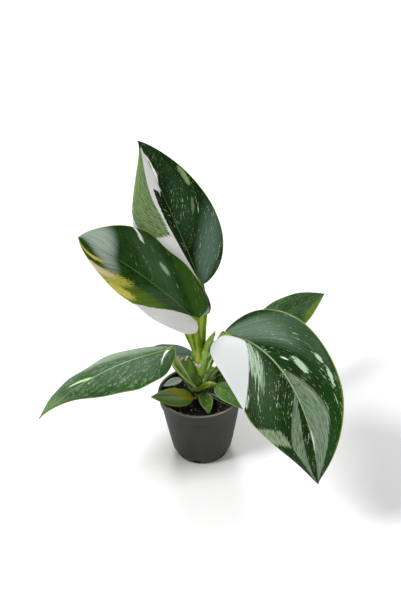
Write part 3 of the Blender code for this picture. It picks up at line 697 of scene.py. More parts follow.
def leaf_finish(name, ground, deep, fleck=FLECK, flecks=((1.0, 0.2),), rib=GREY_GREEN, veins=0.14,
                margin=LIME, zones=(), patches=(), sheens_and_tints=(), gloss=0.30, count=34.0,
                edge=0.972, rib_width=0.03):
    """The upper side of a leaf: ground colour, painted sheens and real tints, flecks, zones and patches, veins, midrib
    and margin.
    """
    finish, steps, shader = new_material(name)
    spot = steps.group(LEAF_PLACE)
    clouds = steps.group(MOTTLE, Size=0.012)
    vein = steps.group(LEAF_VEINS, spot, Count=count, Edge=edge, Rib=rib_width)
    colour = two_greens(steps, spot, clouds, deep, ground)
    colour = steps.blend(steps.times(vein["Lines"], veins), colour, rib)
    # Soft ovals of another colour: on some leaves a painted sheen, paler grey-green where light glances off the blade;
    # elsewhere the leaf's own tints.
    for shade, at, over, length, width, lean, strength in sheens_and_tints:
        mask = steps.group(LEAF_SHEEN_AND_TINT, spot, Middle_Along=at, Middle_Across=over, Length=length, Width=width,
                           Lean=lean)[0]
        colour = steps.blend(steps.times(mask, strength), colour, shade)
    for fineness, amount in flecks:
        mask = steps.group(LEAF_FLECKS, spot, Fineness=fineness, Amount=amount)[0]
        colour = steps.blend(steps.times(mask, 0.85), colour, fleck)
    colour, white = paint_zones(steps, spot, colour, zones, patches)
    colour = steps.blend(steps.times(vein["Midrib"], 0.8), colour, rib)
    green_margin = steps.times(vein["Margin"], steps.minus(1.0, white))
    colour = steps.blend(steps.times(green_margin, 0.6), colour, margin)
    shader.inputs["Specular IOR Level"].default_value = 0.08
    height = steps.math("MULTIPLY_ADD", clouds["Grain"], 0.3, vein["Height"])
    join_up(steps, shader, colour, clouds["Grain"], 0.14, gloss - 0.07, height, 0.00016, 0.7)
    return finish


def underside_finish(name, deep, ground, rib, zones=(), patches=()):
    """The under side of a leaf: duller and paler, its sectors veiled, with the midrib standing out."""
    finish, steps, shader = new_material(name)
    spot = steps.group(LEAF_PLACE)
    clouds = steps.group(MOTTLE, Size=0.009, Seed=4.0)
    vein = steps.group(LEAF_VEINS, spot, Rib=0.05)
    colour = two_greens(steps, spot, clouds, deep, ground)
    colour = steps.blend(steps.times(vein["Lines"], 0.4), colour, rib)
    colour = paint_zones(steps, spot, colour, zones, patches, veil=ground)[0]
    colour = steps.blend(steps.times(vein["Midrib"], 0.9), colour, rib)
    shader.inputs["Specular IOR Level"].default_value = 0.3
    join_up(steps, shader, colour, clouds["Grain"], 0.15, 0.45, vein["Height"], -0.0002, 0.8)
    return finish


# Zones: colour (None is the ground again), side, start and its lean, end and its lean, inner, outer,
# teeth, grain. Patches: colour, middle along and across, half length, half width, raggedness.
TOP_ZONES = (
    (BRIGHT, -1.0, -0.2, 0.0, 1.05, 0.0, 0.0, 1.2, 0.0, 40.0),
    (tint(132, 164, 98), -1.0, 0.37, 0.13, -0.03, 2.0, 0.28, 1.2, 0.09, 70.0),
    (BRIGHT, -1.0, -0.3, 0.0, -0.50, 1.2, 0.4, 1.2, 0.06, 60.0),
    (None, -1.0, -0.27, 3.3, 0.665, 0.25, -0.2, 0.24, 0.03, 60.0),
    (BRIGHT, 1.0, 0.70, 0.6, 0.93, -0.3, -0.1, 0.12, 0.03, 60.0),
    (None, -1.0, 0.955, 0.0, 1.1, 0.0, -0.2, 1.2, 0.0, 40.0),
)
TOP_PATCHES = (
    (GREY_GREEN, 0.52, 0.58, 0.022, 0.09, 0.6),
    (tint(128, 150, 100), 0.70, 0.86, 0.05, 0.10, 0.7),
    (LIME, 0.84, 0.03, 0.03, 0.04, 0.5),
)
UPPER_LEFT_ZONES = (
    (BRIGHT, -1.0, -0.3, 0.0, -0.02, 0.62, 0.0, 1.2, 0.04, 50.0),
    (MINT, 1.0, -0.3, 0.0, -0.035, 0.085, 0.45, 0.93, 0.05, 50.0),
    (BRIGHT, 1.0, 0.36, 0.34, 0.39, 0.34, 0.70, 1.2, 0.05, 60.0),
)
UPPER_LEFT_PATCHES = (
    (MINT, 0.40, 0.50, 0.040, 0.075, 0.9),
    (YELLOW, 0.935, -0.72, 0.035, 0.30, 0.8),
    (tint(186, 184, 76), 0.76, -0.76, 0.085, 0.30, 1.0),
    (YELLOW, 0.68, -0.90, 0.09, 0.12, 1.0),
    (BUFF, 0.83, -0.84, 0.045, 0.22, 0.8),
)
RIGHT_ZONES = (
    (MINT, 1.0, -0.3, 0.0, 0.225, 0.50, 0.08, 0.50, 0.26, 60.0),
    (WHITE, 1.0, -0.3, 0.0, 0.145, 0.36, 0.03, 1.2, 0.03, 60.0),
    (MINT, 1.0, 0.14, 0.36, 0.17, 0.36, 0.78, 0.94, 0.03, 60.0),
    (GREY_GREEN, -1.0, 0.40, 0.42, 1.2, 0.0, 0.0, 0.66, 0.10, 60.0),
    (GREY_GREEN, 1.0, 0.53, 0.46, 0.56, 1.0, 0.0, 0.62, 0.04, 60.0),
    (tint(118, 142, 106), 1.0, 0.80, -0.16, 0.86, -0.08, 0.60, 1.2, 0.12, 70.0),
)
RIGHT_PATCHES = (
    (MINT, 0.475, -0.42, 0.040, 0.075, 0.9),
    (MINT, 0.50, -0.80, 0.020, 0.040, 0.9),
    (MINT, 0.575, -0.86, 0.036, 0.035, 0.9),
    (WHITE, 0.40, -0.22, 0.008, 0.05, 0.5),
    (WHITE, 0.79, -0.05, 0.05, 0.04, 0.5),
)
LEFT_ZONES = (
    (BRIGHT, -1.0, -0.02, 0.24, 0.035, 0.17, 0.0, 0.94, 0.05, 60.0),
)
LEFT_PATCHES = (
    (tint(176, 208, 152), 0.63, 0.14, 0.03, 0.16, 0.5),
)

# Painted sheens and leaf tints: colour, middle along and across, half length, half width, lean, strength.
TOP_SHEENS_AND_TINTS = (
    # Painted sheen: a pale grey-green over the right half near the base, where light glances off the blade.
    (tint(96, 122, 104), 0.14, 0.45, 0.26, 0.8, 0.42, 0.9),
    (tint(60, 100, 60), 0.55, 0.35, 0.25, 0.5, 0.42, 0.3),
)
UPPER_LEFT_SHEENS_AND_TINTS = (
    # Painted sheens: a near-white band across the blade near the tip, and two grey-green ovals in the middle, where
    # light glances off it.
    (tint(192, 210, 194), 0.885, 0.35, 0.15, 1.25, 0.12, 1.0),
    (tint(88, 114, 80), 0.42, 0.34, 0.22, 0.7, 0.42, 0.5),
    (tint(84, 112, 76), 0.34, -0.22, 0.18, 0.5, -0.42, 0.5),
    # The leaf's own yellow-green tints.
    (tint(56, 98, 0), 0.08, 0.50, 0.20, 0.9, 0.42, 0.8),
    (tint(104, 138, 8), 0.58, -0.78, 0.34, 0.45, -0.42, 0.9),
)
RIGHT_SHEENS_AND_TINTS = (
    # Painted sheen: a pale grey-green over the left half near the base, where light glances off the blade.
    (tint(112, 136, 114), 0.16, -0.40, 0.26, 0.9, -0.42, 0.75),
    (tint(12, 52, 0), 0.62, -0.95, 0.45, 0.5, -0.42, 0.95),
    (tint(74, 98, 70), 0.40, 0.45, 0.25, 0.6, 0.42, 0.4),
)
LEFT_SHEENS_AND_TINTS = (
    # Painted sheen: a pale grey-green over the right half, where light glances off the blade.
    (tint(150, 176, 146), 0.30, 0.60, 0.26, 0.6, 0.42, 0.6),
    (tint(112, 146, 84), 0.95, 0.0, 0.20, 1.5, 0.0, 0.6),
)

STROKES = ((0.45, 0.19), (0.8, 0.215), (1.3, 0.19))
SPECKLED = ((1.0, 0.22), (1.9, 0.245))
finishes = {
    "top_leaf": leaf_finish("dark_streaked_leaf", GREEN, DEEP, flecks=STROKES, veins=0.06,
                            zones=TOP_ZONES, patches=TOP_PATCHES, sheens_and_tints=TOP_SHEENS_AND_TINTS,
                            rib=tint(96, 124, 60), gloss=0.34),
    "upper_left_leaf": leaf_finish("glossy_dark_leaf", tint(34, 78, 4), tint(6, 44, 0),
                                   flecks=((0.8, 0.20),), zones=UPPER_LEFT_ZONES,
                                   patches=UPPER_LEFT_PATCHES, sheens_and_tints=UPPER_LEFT_SHEENS_AND_TINTS,
                                   rib=tint(120, 146, 88), gloss=0.28),
    "right_leaf": leaf_finish("splashed_leaf", GREEN, DEEP, flecks=STROKES, veins=0.06,
                              zones=RIGHT_ZONES, patches=RIGHT_PATCHES, sheens_and_tints=RIGHT_SHEENS_AND_TINTS,
                              rib=tint(150, 176, 130), gloss=0.34),
    "rear_right_leaf": leaf_finish("rear_speckled_leaf", tint(64, 100, 56), tint(40, 76, 32),
                                   sheens_and_tints=((tint(122, 150, 30), 0.80, 0.9, 0.3, 0.5, 0.0, 1.0),),
                                   flecks=SPECKLED, gloss=0.40, rib=tint(120, 150, 90)),
    "left_leaf": leaf_finish("speckled_leaf", MID_GREEN, tint(18, 58, 8), flecks=SPECKLED, veins=0.10,
                             fleck=tint(192, 214, 186), zones=LEFT_ZONES, patches=LEFT_PATCHES,
                             sheens_and_tints=LEFT_SHEENS_AND_TINTS, rib=tint(164, 190, 146), gloss=0.42),
    # Painted sheen: the rear left leaf's green is greyed and blued throughout, for light glancing off it at a low
    # angle.
    "rear_left_leaf": leaf_finish("painted_sheen_leaf", tint(68, 88, 72), tint(48, 72, 58), gloss=0.36,
                                  flecks=((1.0, 0.12),)),
    "basal_left_leaf": leaf_finish("yellow_green_leaf", tint(100, 128, 62), tint(76, 108, 40),
                                   flecks=((0.7, 0.20),), rib=tint(128, 144, 50), gloss=0.40, count=16.0,
                                   margin=tint(136, 156, 40), edge=0.86,
                                   sheens_and_tints=((tint(150, 140, 0), 0.22, 0.15, 0.34, 1.3, 0.42, 1.0),
                                           (tint(112, 136, 104), 0.62, 0.3, 0.26, 0.9, 0.42, 0.7))),
    "basal_front_leaf": leaf_finish("pale_edged_leaf", tint(94, 130, 40), tint(58, 94, 16), fleck=CREAM,
                                    flecks=((0.5, 0.26),), rib=tint(110, 142, 50), gloss=0.40, count=12.0,
                                    margin=tint(170, 190, 150), edge=0.80),
    "basal_right_leaf": leaf_finish("sage_leaf", tint(66, 100, 34), tint(44, 78, 16),
                                    flecks=((0.8, 0.24),), rib=tint(130, 156, 90), gloss=0.42, count=16.0,
                                    margin=tint(140, 168, 120), edge=0.90,
                                    sheens_and_tints=((tint(76, 112, 4), 0.06, 0.0, 0.26, 1.4, 0.42, 0.9),)),
    "basal_dark_leaf": leaf_finish("small_dark_leaf", tint(16, 48, 8), tint(8, 30, 4), gloss=0.26,
                                   flecks=((0.6, 0.12),), rib=tint(190, 200, 190), count=12.0,
                                   rib_width=0.16, edge=0.94),
    "basal_folded_leaf": leaf_finish("small_folded_leaf", tint(56, 96, 4), tint(20, 56, 0), gloss=0.30,
                                     flecks=((0.6, 0.10),), rib=tint(120, 146, 60), count=12.0, edge=0.9),
    "basal_pale_leaf": leaf_finish("white_leaf", tint(250, 252, 250), tint(222, 228, 224), gloss=0.45,
                                   flecks=((0.6, 0.10),), rib=tint(180, 196, 180), count=12.0,
                                   margin=tint(120, 130, 118)),
}
UNDER_DEEP = tint(74, 104, 58)
UNDER_GROUND = tint(96, 126, 78)
UNDER_RIB = tint(146, 168, 106)
plain_underside = underside_finish("leaf_underside", UNDER_DEEP, UNDER_GROUND, UNDER_RIB)
PATTERNS = {"top_leaf": (TOP_ZONES,), "upper_left_leaf": (UPPER_LEFT_ZONES, UPPER_LEFT_PATCHES),
            "right_leaf": (RIGHT_ZONES, RIGHT_PATCHES), "left_leaf": (LEFT_ZONES,)}
undersides = {name: underside_finish(name + "_underside", UNDER_DEEP, UNDER_GROUND, UNDER_RIB, *pattern)
              for name, pattern in PATTERNS.items()}
undersides["basal_pale_leaf"] = underside_finish("pale_leaf_underside", tint(206, 206, 196),
                                                 tint(222, 222, 214), tint(200, 204, 180))


# ---------------------------------------------------------------- the shape of a leaf
def bearing(heading, climb):
    """Unit vectors along a direction, level to its right, and up across both."""
    turn = np.radians(heading)
    lift = np.radians(climb)
    along = np.stack([np.cos(lift) * np.cos(turn), np.cos(lift) * np.sin(turn), np.sin(lift)], -1)
    side = np.stack([np.sin(turn), -np.cos(turn), 0.0 * turn * lift], -1)
    return along, side, np.cross(side, along)


def smooth_path(start, start_way, end, end_way, steps):
    """Points on a curve that leaves start and reaches end in the given directions."""
    span = np.linalg.norm(end - start) * STALK_REACH
    first = start + start_way * span
    last = end - end_way * span
    t = np.linspace(0.0, 1.0, steps + 1)[:, None]
    return (1 - t)**3 * start + 3 * (1 - t)**2 * t * first + 3 * (1 - t) * t**2 * last + t**3 * end


def lying(leaf, s):
    """Directions along, across and up from the blade at shares s of its length."""
    along, side, up = bearing(leaf["heading"] + leaf["sweep"] * s, leaf["climb"] - leaf["droop"] * s)
    roll = np.radians(leaf["roll"] + leaf["twist"] * s)[:, None]
    return along, side * np.cos(roll) - up * np.sin(roll), up * np.cos(roll) + side * np.sin(roll)


def midrib(leaf, rows):
    """Points along the middle of the blade, from the joint to the tip."""
    s = (np.arange(rows) + 0.5) / rows
    steps = bearing(leaf["heading"] + leaf["sweep"] * s, leaf["climb"] - leaf["droop"] * s)[0]
    joint = STEM_FOOT + np.array(leaf["joint"])
    return np.vstack([joint, joint + np.cumsum(steps * leaf["length"] / rows, axis=0)])


def width_share(leaf, half, s):
    """Half width at s as a share of the widest: rounded at the base, drawn out at the tip."""
    widest, base, tip = leaf["widest"][half], leaf["base"][half], leaf["tip"][half]
    below = np.clip((widest - s) / widest, 0.0, 1.0)
    above = np.clip((s - widest) / (1.0 - widest), 0.0, 1.0)
    share = np.where(s < widest, (1.0 - below**BASE_SWELL)**base, (1.0 - above**TIP_NARROWS)**tip)
    return np.maximum(share, NARROWEST)


def across(fold, curl, q):
    """How far out and how far up a half blade reaches at share q of its width."""
    u = (np.arange(CURL_STEPS) + 0.5) / CURL_STEPS * abs(q)
    slope = np.radians(fold + curl * u)
    return q * np.cos(slope).mean(), abs(q) * np.sin(slope).mean()


def blade_points(leaf, rows, strips, seed):
    """The blade's middle surface with its midrib groove, side veins and uneven margin."""
    random = np.random.default_rng(seed)
    s = np.linspace(0.0, 1.0, rows + 1)
    rib = midrib(leaf, rows)
    along, side, up = lying(leaf, s)
    wave_turn = random.uniform(0.0, 6.28, 4)
    places = np.zeros((rows + 1, 2 * strips + 1, 3))
    flat = np.zeros((rows + 1, 2 * strips + 1, 2))
    stations = np.linspace(-1.0, 1.0, 2 * strips + 1)
    stations = np.sign(stations) * (0.8 * np.abs(stations) + 0.2 * np.abs(stations)**3)
    size = leaf["length"]
    vein_count = max(9.0, size / VEIN_GAP)
    for column, q in enumerate(stations):
        half = 1 if q > 0 else 0
        out, lift = across(leaf["fold"][half], leaf["curl"][half], q)
        reach = leaf["half"][half] * width_share(leaf, half, s)
        back = leaf["lobe"][half] * abs(q)**LOBE_POWER * np.clip(1.0 - s / LOBE_LENGTH, 0.0, 1.0)**2
        back = back * width_share(leaf, half, s)
        far = abs(q) * reach
        groove = -GROOVE_DEPTH * size * np.exp(-(far / (GROOVE_WIDTH * size))**2) * (1.0 - 0.7 * s)
        vein = s - (VEIN_LEAN + VEIN_BEND * abs(q)) * abs(q)
        fade = np.clip(far / 0.003, 0.0, 1.0) * np.clip((1.0 - abs(q)) * 3.0, 0.0, 1.0)
        fade *= np.sin(np.pi * s)**0.5
        swell = np.cos(2.0 * np.pi * vein_count * vein + 2.0 * np.sin(17.0 * vein))
        quilt = QUILT_HEIGHT * size * swell * fade
        ripple = np.sin(11.0 * s + wave_turn[half]) + 0.6 * np.sin(23.0 * s + wave_turn[2 + half])
        wave = MARGIN_WAVE * size * ripple * abs(q)**3 * np.sin(np.pi * np.clip(s, 0.0, 1.0))
        height = lift * reach + groove + quilt + wave
        places[:, column] = rib + side * (out * reach)[:, None] + up * height[:, None]
        places[:, column] -= along * back[:, None]
        flat[:, column, 0] = s
        flat[:, column, 1] = (q + 1.0) / 2.0
    return places, flat


def grid_mesh(name, places, flat):
    """A mesh over a grid of points, with a map of where each point lies on the piece."""
    rows, columns = places.shape[:2]
    faces = []
    corners = []
    for r in range(rows - 1):
        for c in range(columns - 1):
            ring = [(r, c), (r, c + 1), (r + 1, c + 1), (r + 1, c)]
            faces.append([a * columns + b for a, b in ring])
            corners.extend(ring)
    mesh = bpy.data.meshes.new(name)
    mesh.from_pydata([tuple(p) for p in places.reshape(-1, 3)], [], faces)
    layer = mesh.uv_layers.new(name="blade")
    layer.data.foreach_set("uv", np.array([flat[a, b] for a, b in corners]).ravel())
    mesh.validate()
    return mesh


def show(name, mesh, finish, nodes=(), slot=None, smooth=True):
    """Adds a finished piece to the plant. It stands for the named frame nodes."""
    item = bpy.data.objects.new(name, mesh)
    bpy.context.scene.collection.objects.link(item)
    for coat in finish if isinstance(finish, (list, tuple)) else (finish,):
        item.data.materials.append(coat)
    if smooth:
        item.data.shade_smooth()
    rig.ride(item, "root")
    if nodes:
        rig.replaces(item, *nodes)
    if slot:
        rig.slot(item, slot)
    return item


def thicken(item, thickness, under=0):
    """Gives a sheet its thickness. The far side may take another of its materials."""
    solid = item.modifiers.new("thickness", "SOLIDIFY")
    solid.thickness = thickness
    solid.offset = 0.0
    solid.use_even_offset = True
    solid.material_offset = under


SLOTS = {node["node"]: node["material_slot"] for node in frame["record"]["subparts"]}


def leaf_blade(name, seed):
    """One leaf's blade, with its own finish above and below."""
    rows, strips = (84, 20) if LEAVES[name]["length"] > BIG_LEAF else (36, 12)
    places, flat = blade_points(LEAVES[name], rows, strips, seed)
    mesh = grid_mesh(name + "_blade_grown", places, flat)
    coats = (finishes[name], undersides.get(name, plain_underside))
    item = show(name + "_blade_grown", mesh, coats, [name + "_blade"], SLOTS[name + "_blade"])
    thicken(item, BLADE_THICKNESS, 1)


for seed, name in enumerate(LEAVES, 11):
    leaf_blade(name, seed)


# ---------------------------------------------------------------- stalks
def stalk_finish(name, ground, deep, stripe, count, seed):
    finish, steps, shader = new_material(name)
    bands = steps.group(STALK_STRIPES, Count=count, Width=0.5, Seed=seed)
    clouds = steps.group(MOTTLE, Size=0.006, Stretch=2.0, Seed=seed)
    colour = steps.blend(steps.fade(clouds["Cloud"], 0.35, 0.7), deep, ground)
    colour = steps.blend(steps.times(bands["Stripes"], 0.6), colour, stripe)
    foot = steps.minus(1.0, steps.fade(bands["Along"], 0.0, 0.3))
    colour = steps.blend(steps.times(foot, 0.35), colour, tint(196, 204, 150))
    shader.inputs["Specular IOR Level"].default_value = 0.18
    join_up(steps, shader, colour, clouds["Grain"], 0.15, 0.32, bands["Height"], 0.00012, 0.6)
    return finish


bright_stalk = stalk_finish("bright_stalk", tint(134, 152, 8), tint(88, 122, 2), tint(176, 190, 84),
                            3.0, 1.0)
green_stalk = stalk_finish("green_stalk", tint(98, 136, 20), tint(54, 92, 4), tint(184, 200, 140), 5.0, 3.0)


def stalk_start(leaf):
    """Where a stalk leaves the stem: on its top, or at a node on its side."""
    out = bearing(leaf["leave"], 0.0)[0]
    rise = math.radians(leaf["rise"])
    if leaf["node"] is None:
        height = STEM_HEIGHT + FIT + leaf["stalk"] * math.cos(rise)
        return STEM_FOOT + out * leaf["seat"] + np.array((0.0, 0.0, height))
    away = STEM_RADIUS + FIT + leaf["stalk"] * math.sin(rise)
    return STEM_FOOT + out * away + np.array((0.0, 0.0, leaf["node"]))


def carried_frames(path, first_up):
    """A side and an up direction for each point of a path, turned as little as possible."""
    ways = np.gradient(path, axis=0)
    ways /= np.linalg.norm(ways, axis=1)[:, None]
    up = np.array(first_up, float)
    sides, ups = [], []
    for way in ways:
        up = up - way * (up @ way)
        up /= np.linalg.norm(up)
        ups.append(up.copy())
        sides.append(np.cross(way, up))
    return np.array(sides), np.array(ups)


def fleshy_stalk(path, widths, depths, groove, first_up, turns=28):
    """A stalk that is wider than deep, with a channel along its upper side."""
    sides, ups = carried_frames(path, first_up)
    angle = np.linspace(0.0, 2.0 * np.pi, turns + 1)
    places = np.zeros((len(path), turns + 1, 3))
    flat = np.zeros((len(path), turns + 1, 2))
    for row in range(len(path)):
        dip = 1.0 - groove[row] * np.exp(-((angle - np.pi / 2.0) / 0.55)**2)
        over = np.cos(angle)[:, None] * sides[row] * widths[row]
        lift = (np.sin(angle) * dip)[:, None] * ups[row] * depths[row]
        places[row] = path[row] + over + lift
        flat[row, :, 0] = row / (len(path) - 1)
        flat[row, :, 1] = angle / (2.0 * np.pi)
    return places, flat


def closed_tube(name, places, flat):
    """Closes a tube's seam and its two ends."""
    mesh = grid_mesh(name, places, flat)
    cage = bmesh.new()
    cage.from_mesh(mesh)
    bmesh.ops.remove_doubles(cage, verts=cage.verts, dist=0.000001)
    bmesh.ops.holes_fill(cage, edges=cage.edges, sides=0)
    bmesh.ops.recalc_face_normals(cage, faces=cage.faces)
    cage.to_mesh(mesh)
    cage.free()
    return mesh


# Broad clasping stalks of the crown: points of the centre line from the stem's foot, in mm, then at
# each point and at the joint the half width, the half depth and how deep the channel is.
CROWN = {
    "upper_left_leaf": dict(
        line=((-0.5, -0.6, 12), (-0.6, -1.2, 27), (-1.4, -2.2, 41), (-2.2, -6.5, 55)),
        wide=(4.4, 4.5, 4.0, 3.6, 2.4), deep=(3.9, 3.9, 3.2, 2.3, 1.8), channel=(0.0, 0.05, 0.2, 0.5, 0.3),
        faces=(0.15, -1.0, 0.2)),
    "top_leaf": dict(
        line=((1.2, 2.0, 14), (1.4, 2.4, 32), (2.6, 2.6, 52), (4.2, 4.0, 70)),
        wide=(3.0, 3.0, 2.7, 2.4, 2.0), deep=(2.6, 2.6, 2.3, 2.1, 1.8), channel=(0.1, 0.1, 0.3, 0.3, 0.2),
        faces=(-0.3, -1.0, 0.0)),
    "right_leaf": dict(
        line=((1.6, -2.6, 13), (4.2, -4.2, 24), (8.6, -7.2, 37), (13.2, -12.0, 51)),
        wide=(3.4, 3.5, 3.1, 2.6, 2.2), deep=(2.2, 2.4, 2.2, 2.0, 1.8), channel=(0.2, 0.4, 0.5, 0.4, 0.2),
        faces=(-0.6, -0.7, 0.6)),
    "left_leaf": dict(
        line=((-1.2, -3.4, 8), (-7.4, -5.0, 16), (-13.0, -6.2, 24), (-17.4, -7.6, 33)),
        wide=(2.6, 2.9, 3.1, 3.0, 2.1), deep=(1.8, 1.9, 1.9, 1.8, 1.6), channel=(0.2, 0.4, 0.5, 0.4, 0.2),
        faces=(0.3, -0.5, 1.0)),
    "basal_right_leaf": dict(
        line=((-5.0, -3.6, 7.5), (-1.6, -6.2, 9.0), (3.0, -7.4, 12.0), (7.0, -6.6, 13.0)),
        wide=(2.0, 2.6, 3.0, 3.0, 2.4), deep=(1.2, 1.4, 1.4, 1.2, 0.8), channel=(0.2, 0.4, 0.5, 0.4, 0.2),
        faces=(0.1, -0.5, 1.0)),
}


def through(points, steps):
    """A smooth line through points, steps to each span."""
    ends = np.vstack([2 * points[0] - points[1], points, 2 * points[-1] - points[-2]])
    t = np.linspace(0.0, 1.0, steps, endpoint=False)[:, None]
    spans = []
    for before, first, last, after in zip(ends, ends[1:], ends[2:], ends[3:]):
        spans.append(first + 0.5 * t * (last - before + t * (2 * before - 5 * first + 4 * last - after
                                                             + t * (3 * (first - last) + after - before))))
    return np.vstack(spans + [points[-1:]])


def leaf_stalk(name, coat):
    """From the stem to the blade, flared and channelled at the foot, and on under the blade as its rib."""
    leaf = LEAVES[name]
    joint = STEM_FOOT + np.array(leaf["joint"])
    if name in CROWN:
        shape = CROWN[name]
        path = through(np.vstack([STEM_FOOT + np.array(shape["line"]) * 0.001, joint]), 9)
        spot = np.linspace(0.0, len(shape["line"]), len(path))
        stations = range(len(shape["wide"]))
        widths = np.interp(spot, stations, shape["wide"]) * 0.001
        depths = np.interp(spot, stations, shape["deep"]) * 0.001
        channel = np.interp(spot, stations, shape["channel"])
        faces = shape["faces"]
    else:
        end_way = bearing(*leaf["meet"])[0]
        path = smooth_path(stalk_start(leaf), bearing(leaf["leave"], leaf["rise"])[0],
                           joint - end_way * leaf["stalk"] * 0.2, end_way, 26)
        share = np.linspace(0.0, 1.0, len(path))
        depths = leaf["stalk"] * (1.0 + (STALK_TAPER - 1.0) * share)
        widths = depths * (1.1 + 0.7 * np.clip(1.0 - share / 0.6, 0.0, 1.0)**1.5)
        channel = 0.25 + 0.35 * np.clip(1.0 - share / 0.5, 0.0, 1.0)
        faces = (0.0, -0.2, 1.0)
    rib = midrib(leaf, RIB_STEPS)
    up = lying(leaf, np.linspace(0.0, 1.0, RIB_STEPS + 1))[2]
    under = rib - up * (BLADE_THICKNESS + leaf["stalk"] * 0.35)
    keel = under[2:30:2]
    thin = np.linspace(0.62, 0.10, len(keel))
    path = np.vstack([path, keel])
    widths = np.concatenate([widths, widths[-1] * thin])
    depths = np.concatenate([depths, depths[-1] * thin])
    channel = np.concatenate([channel, np.zeros(len(keel))])
    places, flat = fleshy_stalk(path, widths, depths, channel, faces)
    mesh = closed_tube(name + "_stalk_grown", places, flat)
    show(name + "_stalk_grown", mesh, coat, [name + "_stalk"], SLOTS[name + "_stalk"])


light_stalk = stalk_finish("light_stalk", tint(126, 162, 56), tint(84, 124, 18), tint(190, 206, 150),
                           4.0, 6.0)
STALK_COATS = {"top_leaf": bright_stalk, "upper_left_leaf": bright_stalk, "basal_right_leaf": bright_stalk,
               "left_leaf": light_stalk, "basal_left_leaf": bright_stalk}
for name in LEAVES:
    leaf_stalk(name, STALK_COATS.get(name, green_stalk))


def stalk_wing():
    """The left edge of the big stalk's sheath, standing away from it under the blade's pale flap."""
    line = np.array(((-2.6, -3.6, 36), (-4.0, -5.6, 45), (-5.6, -8.6, 54), (-6.6, -11.6, 62))) * 0.001
    path = through(STEM_FOOT + line, 8)
    spot = np.linspace(0.0, 1.0, len(path))
    places, flat = fleshy_stalk(path, 0.0012 + 0.0024 * spot, 0.0010 + 0.0003 * spot, 0.2 + 0.3 * spot,
                                (0.2, -1.0, 0.3))
    mesh = closed_tube("stalk_wing", places, flat)
    show("stalk_wing", mesh, bright_stalk, slot="stalk_green")


stalk_wing()


# ---------------------------------------------------------------- new leaf and sheaths
def spear_path(steps):
    start = STEM_FOOT + np.array(SPEAR_FOOT)
    end = STEM_FOOT + np.array(SPEAR_TIP)
    return smooth_path(start, bearing(340.0, 78.0)[0], end, bearing(350.0, 60.0)[0], steps)


def rolled_leaf():
    """The next leaf, rolled up: one and a half turns, fattest a third of the way up, with a free edge."""
    rows, columns = 41, 48
    path = spear_path(rows - 1)
    sides, ups = carried_frames(path, (0.0, -1.0, 0.3))
    share = np.linspace(0.0, 1.0, rows)
    belly = 0.0030 * (1.0 - np.clip((share - 0.35) / 0.65, 0.0, 1.0)**2.6 * 0.80)
    angle = np.linspace(0.0, 3.3 * np.pi, columns)
    places = np.zeros((rows, columns, 3))
    flat = np.zeros((rows, columns, 2))
    for row in range(rows):
        radius = belly[row] * (0.72 + 0.34 * angle / angle[-1])
        turn = angle + 0.9 * share[row]
        around = np.cos(turn)[:, None] * sides[row] + np.sin(turn)[:, None] * ups[row]
        places[row] = path[row] + around * radius[:, None]
        places[row] += (np.cos(angle * 0.5) * 0.0016 * share[row]**6)[:, None] * np.array((0.2, 0.0, 1.0))
        flat[row, :, 0] = share[row]
        flat[row, :, 1] = angle / angle[-1]
    mesh = grid_mesh("new_leaf_rolled", places, flat)
    item = show("new_leaf_rolled", mesh, spear_coat, ["new_leaf_spear"], SLOTS["new_leaf_spear"])
    thicken(item, 0.00030)


def spear_finish():
    finish, steps, shader = new_material("rolled_leaf")
    spot = steps.group(LEAF_PLACE)
    clouds = steps.group(MOTTLE, Size=0.006, Seed=2.0)
    vein = steps.group(LEAF_VEINS, spot, Count=14.0)
    colour = steps.blend(steps.fade(clouds["Cloud"], 0.35, 0.65), tint(88, 130, 20), tint(148, 178, 60))
    colour = steps.blend(steps.times(vein["Lines"], 0.3), colour, tint(150, 176, 90))
    colour = steps.blend(steps.fade(spot["Across"], 0.93, 0.96), colour, tint(196, 206, 160))
    join_up(steps, shader, colour, clouds["Grain"], 0.12, 0.26, vein["Height"], 0.0001, 0.5)
    return finish


spear_coat = spear_finish()
rolled_leaf()


def sheath_points(path, radii, facing, wrap, edge, columns, ribs):
    """An open sheath round a path: a ribbed curved sheet with a torn top edge."""
    rows = len(path)
    places = np.zeros((rows, columns + 1, 3))
    flat = np.zeros((rows, columns + 1, 2))
    for column in range(columns + 1):
        share = column / columns
        turn = facing + wrap * (share - 0.5)
        out = bearing(turn, 0.0)[0]
        tear = np.interp(share * (len(edge) - 1), range(len(edge)), edge)
        height = np.clip((np.arange(rows) / (rows - 1) - 0.55) / 0.45, 0.0, 1.0)**1.5
        flute = 0.00022 * math.cos(2.0 * math.pi * ribs * share)
        keel = 0.0006 * math.exp(-((share - 0.40) / 0.06)**2)
        places[:, column] = path + out * (radii + flute + keel)[:, None]
        places[:, column, 2] += tear * height
        flat[:, column, 0] = np.linspace(0.0, 1.0, rows)
        flat[:, column, 1] = share
    return places, flat


def sheath_finish():
    """A ribbed green sheath with a cream midline and a dry papery top edge."""
    finish, steps, shader = new_material("torn_sheath_coat")
    bands = steps.group(STALK_STRIPES, Count=9.0, Width=0.6, Seed=7.0)
    clouds = steps.group(MOTTLE, Size=0.005, Stretch=2.5, Seed=7.0)
    colour = steps.blend(steps.fade(clouds["Cloud"], 0.35, 0.7), tint(46, 88, 0), tint(92, 134, 8))
    colour = steps.blend(steps.times(bands["Stripes"], 0.25), colour, tint(140, 164, 70))
    off = steps.math("ABSOLUTE", steps.minus(bands["Round"], 0.40))
    line = steps.minus(1.0, steps.fade(off, 0.055, 0.08))
    colour = steps.blend(steps.times(line, 0.9), colour, tint(196, 200, 150))
    rag = steps.math("MULTIPLY_ADD", clouds["Grain"], 0.06, bands["Along"])
    colour = steps.blend(steps.fade(rag, 0.985, 1.02), colour, tint(206, 196, 150))
    join_up(steps, shader, colour, clouds["Grain"], 0.2, 0.34, bands["Height"], 0.00015, 0.8)
    return finish


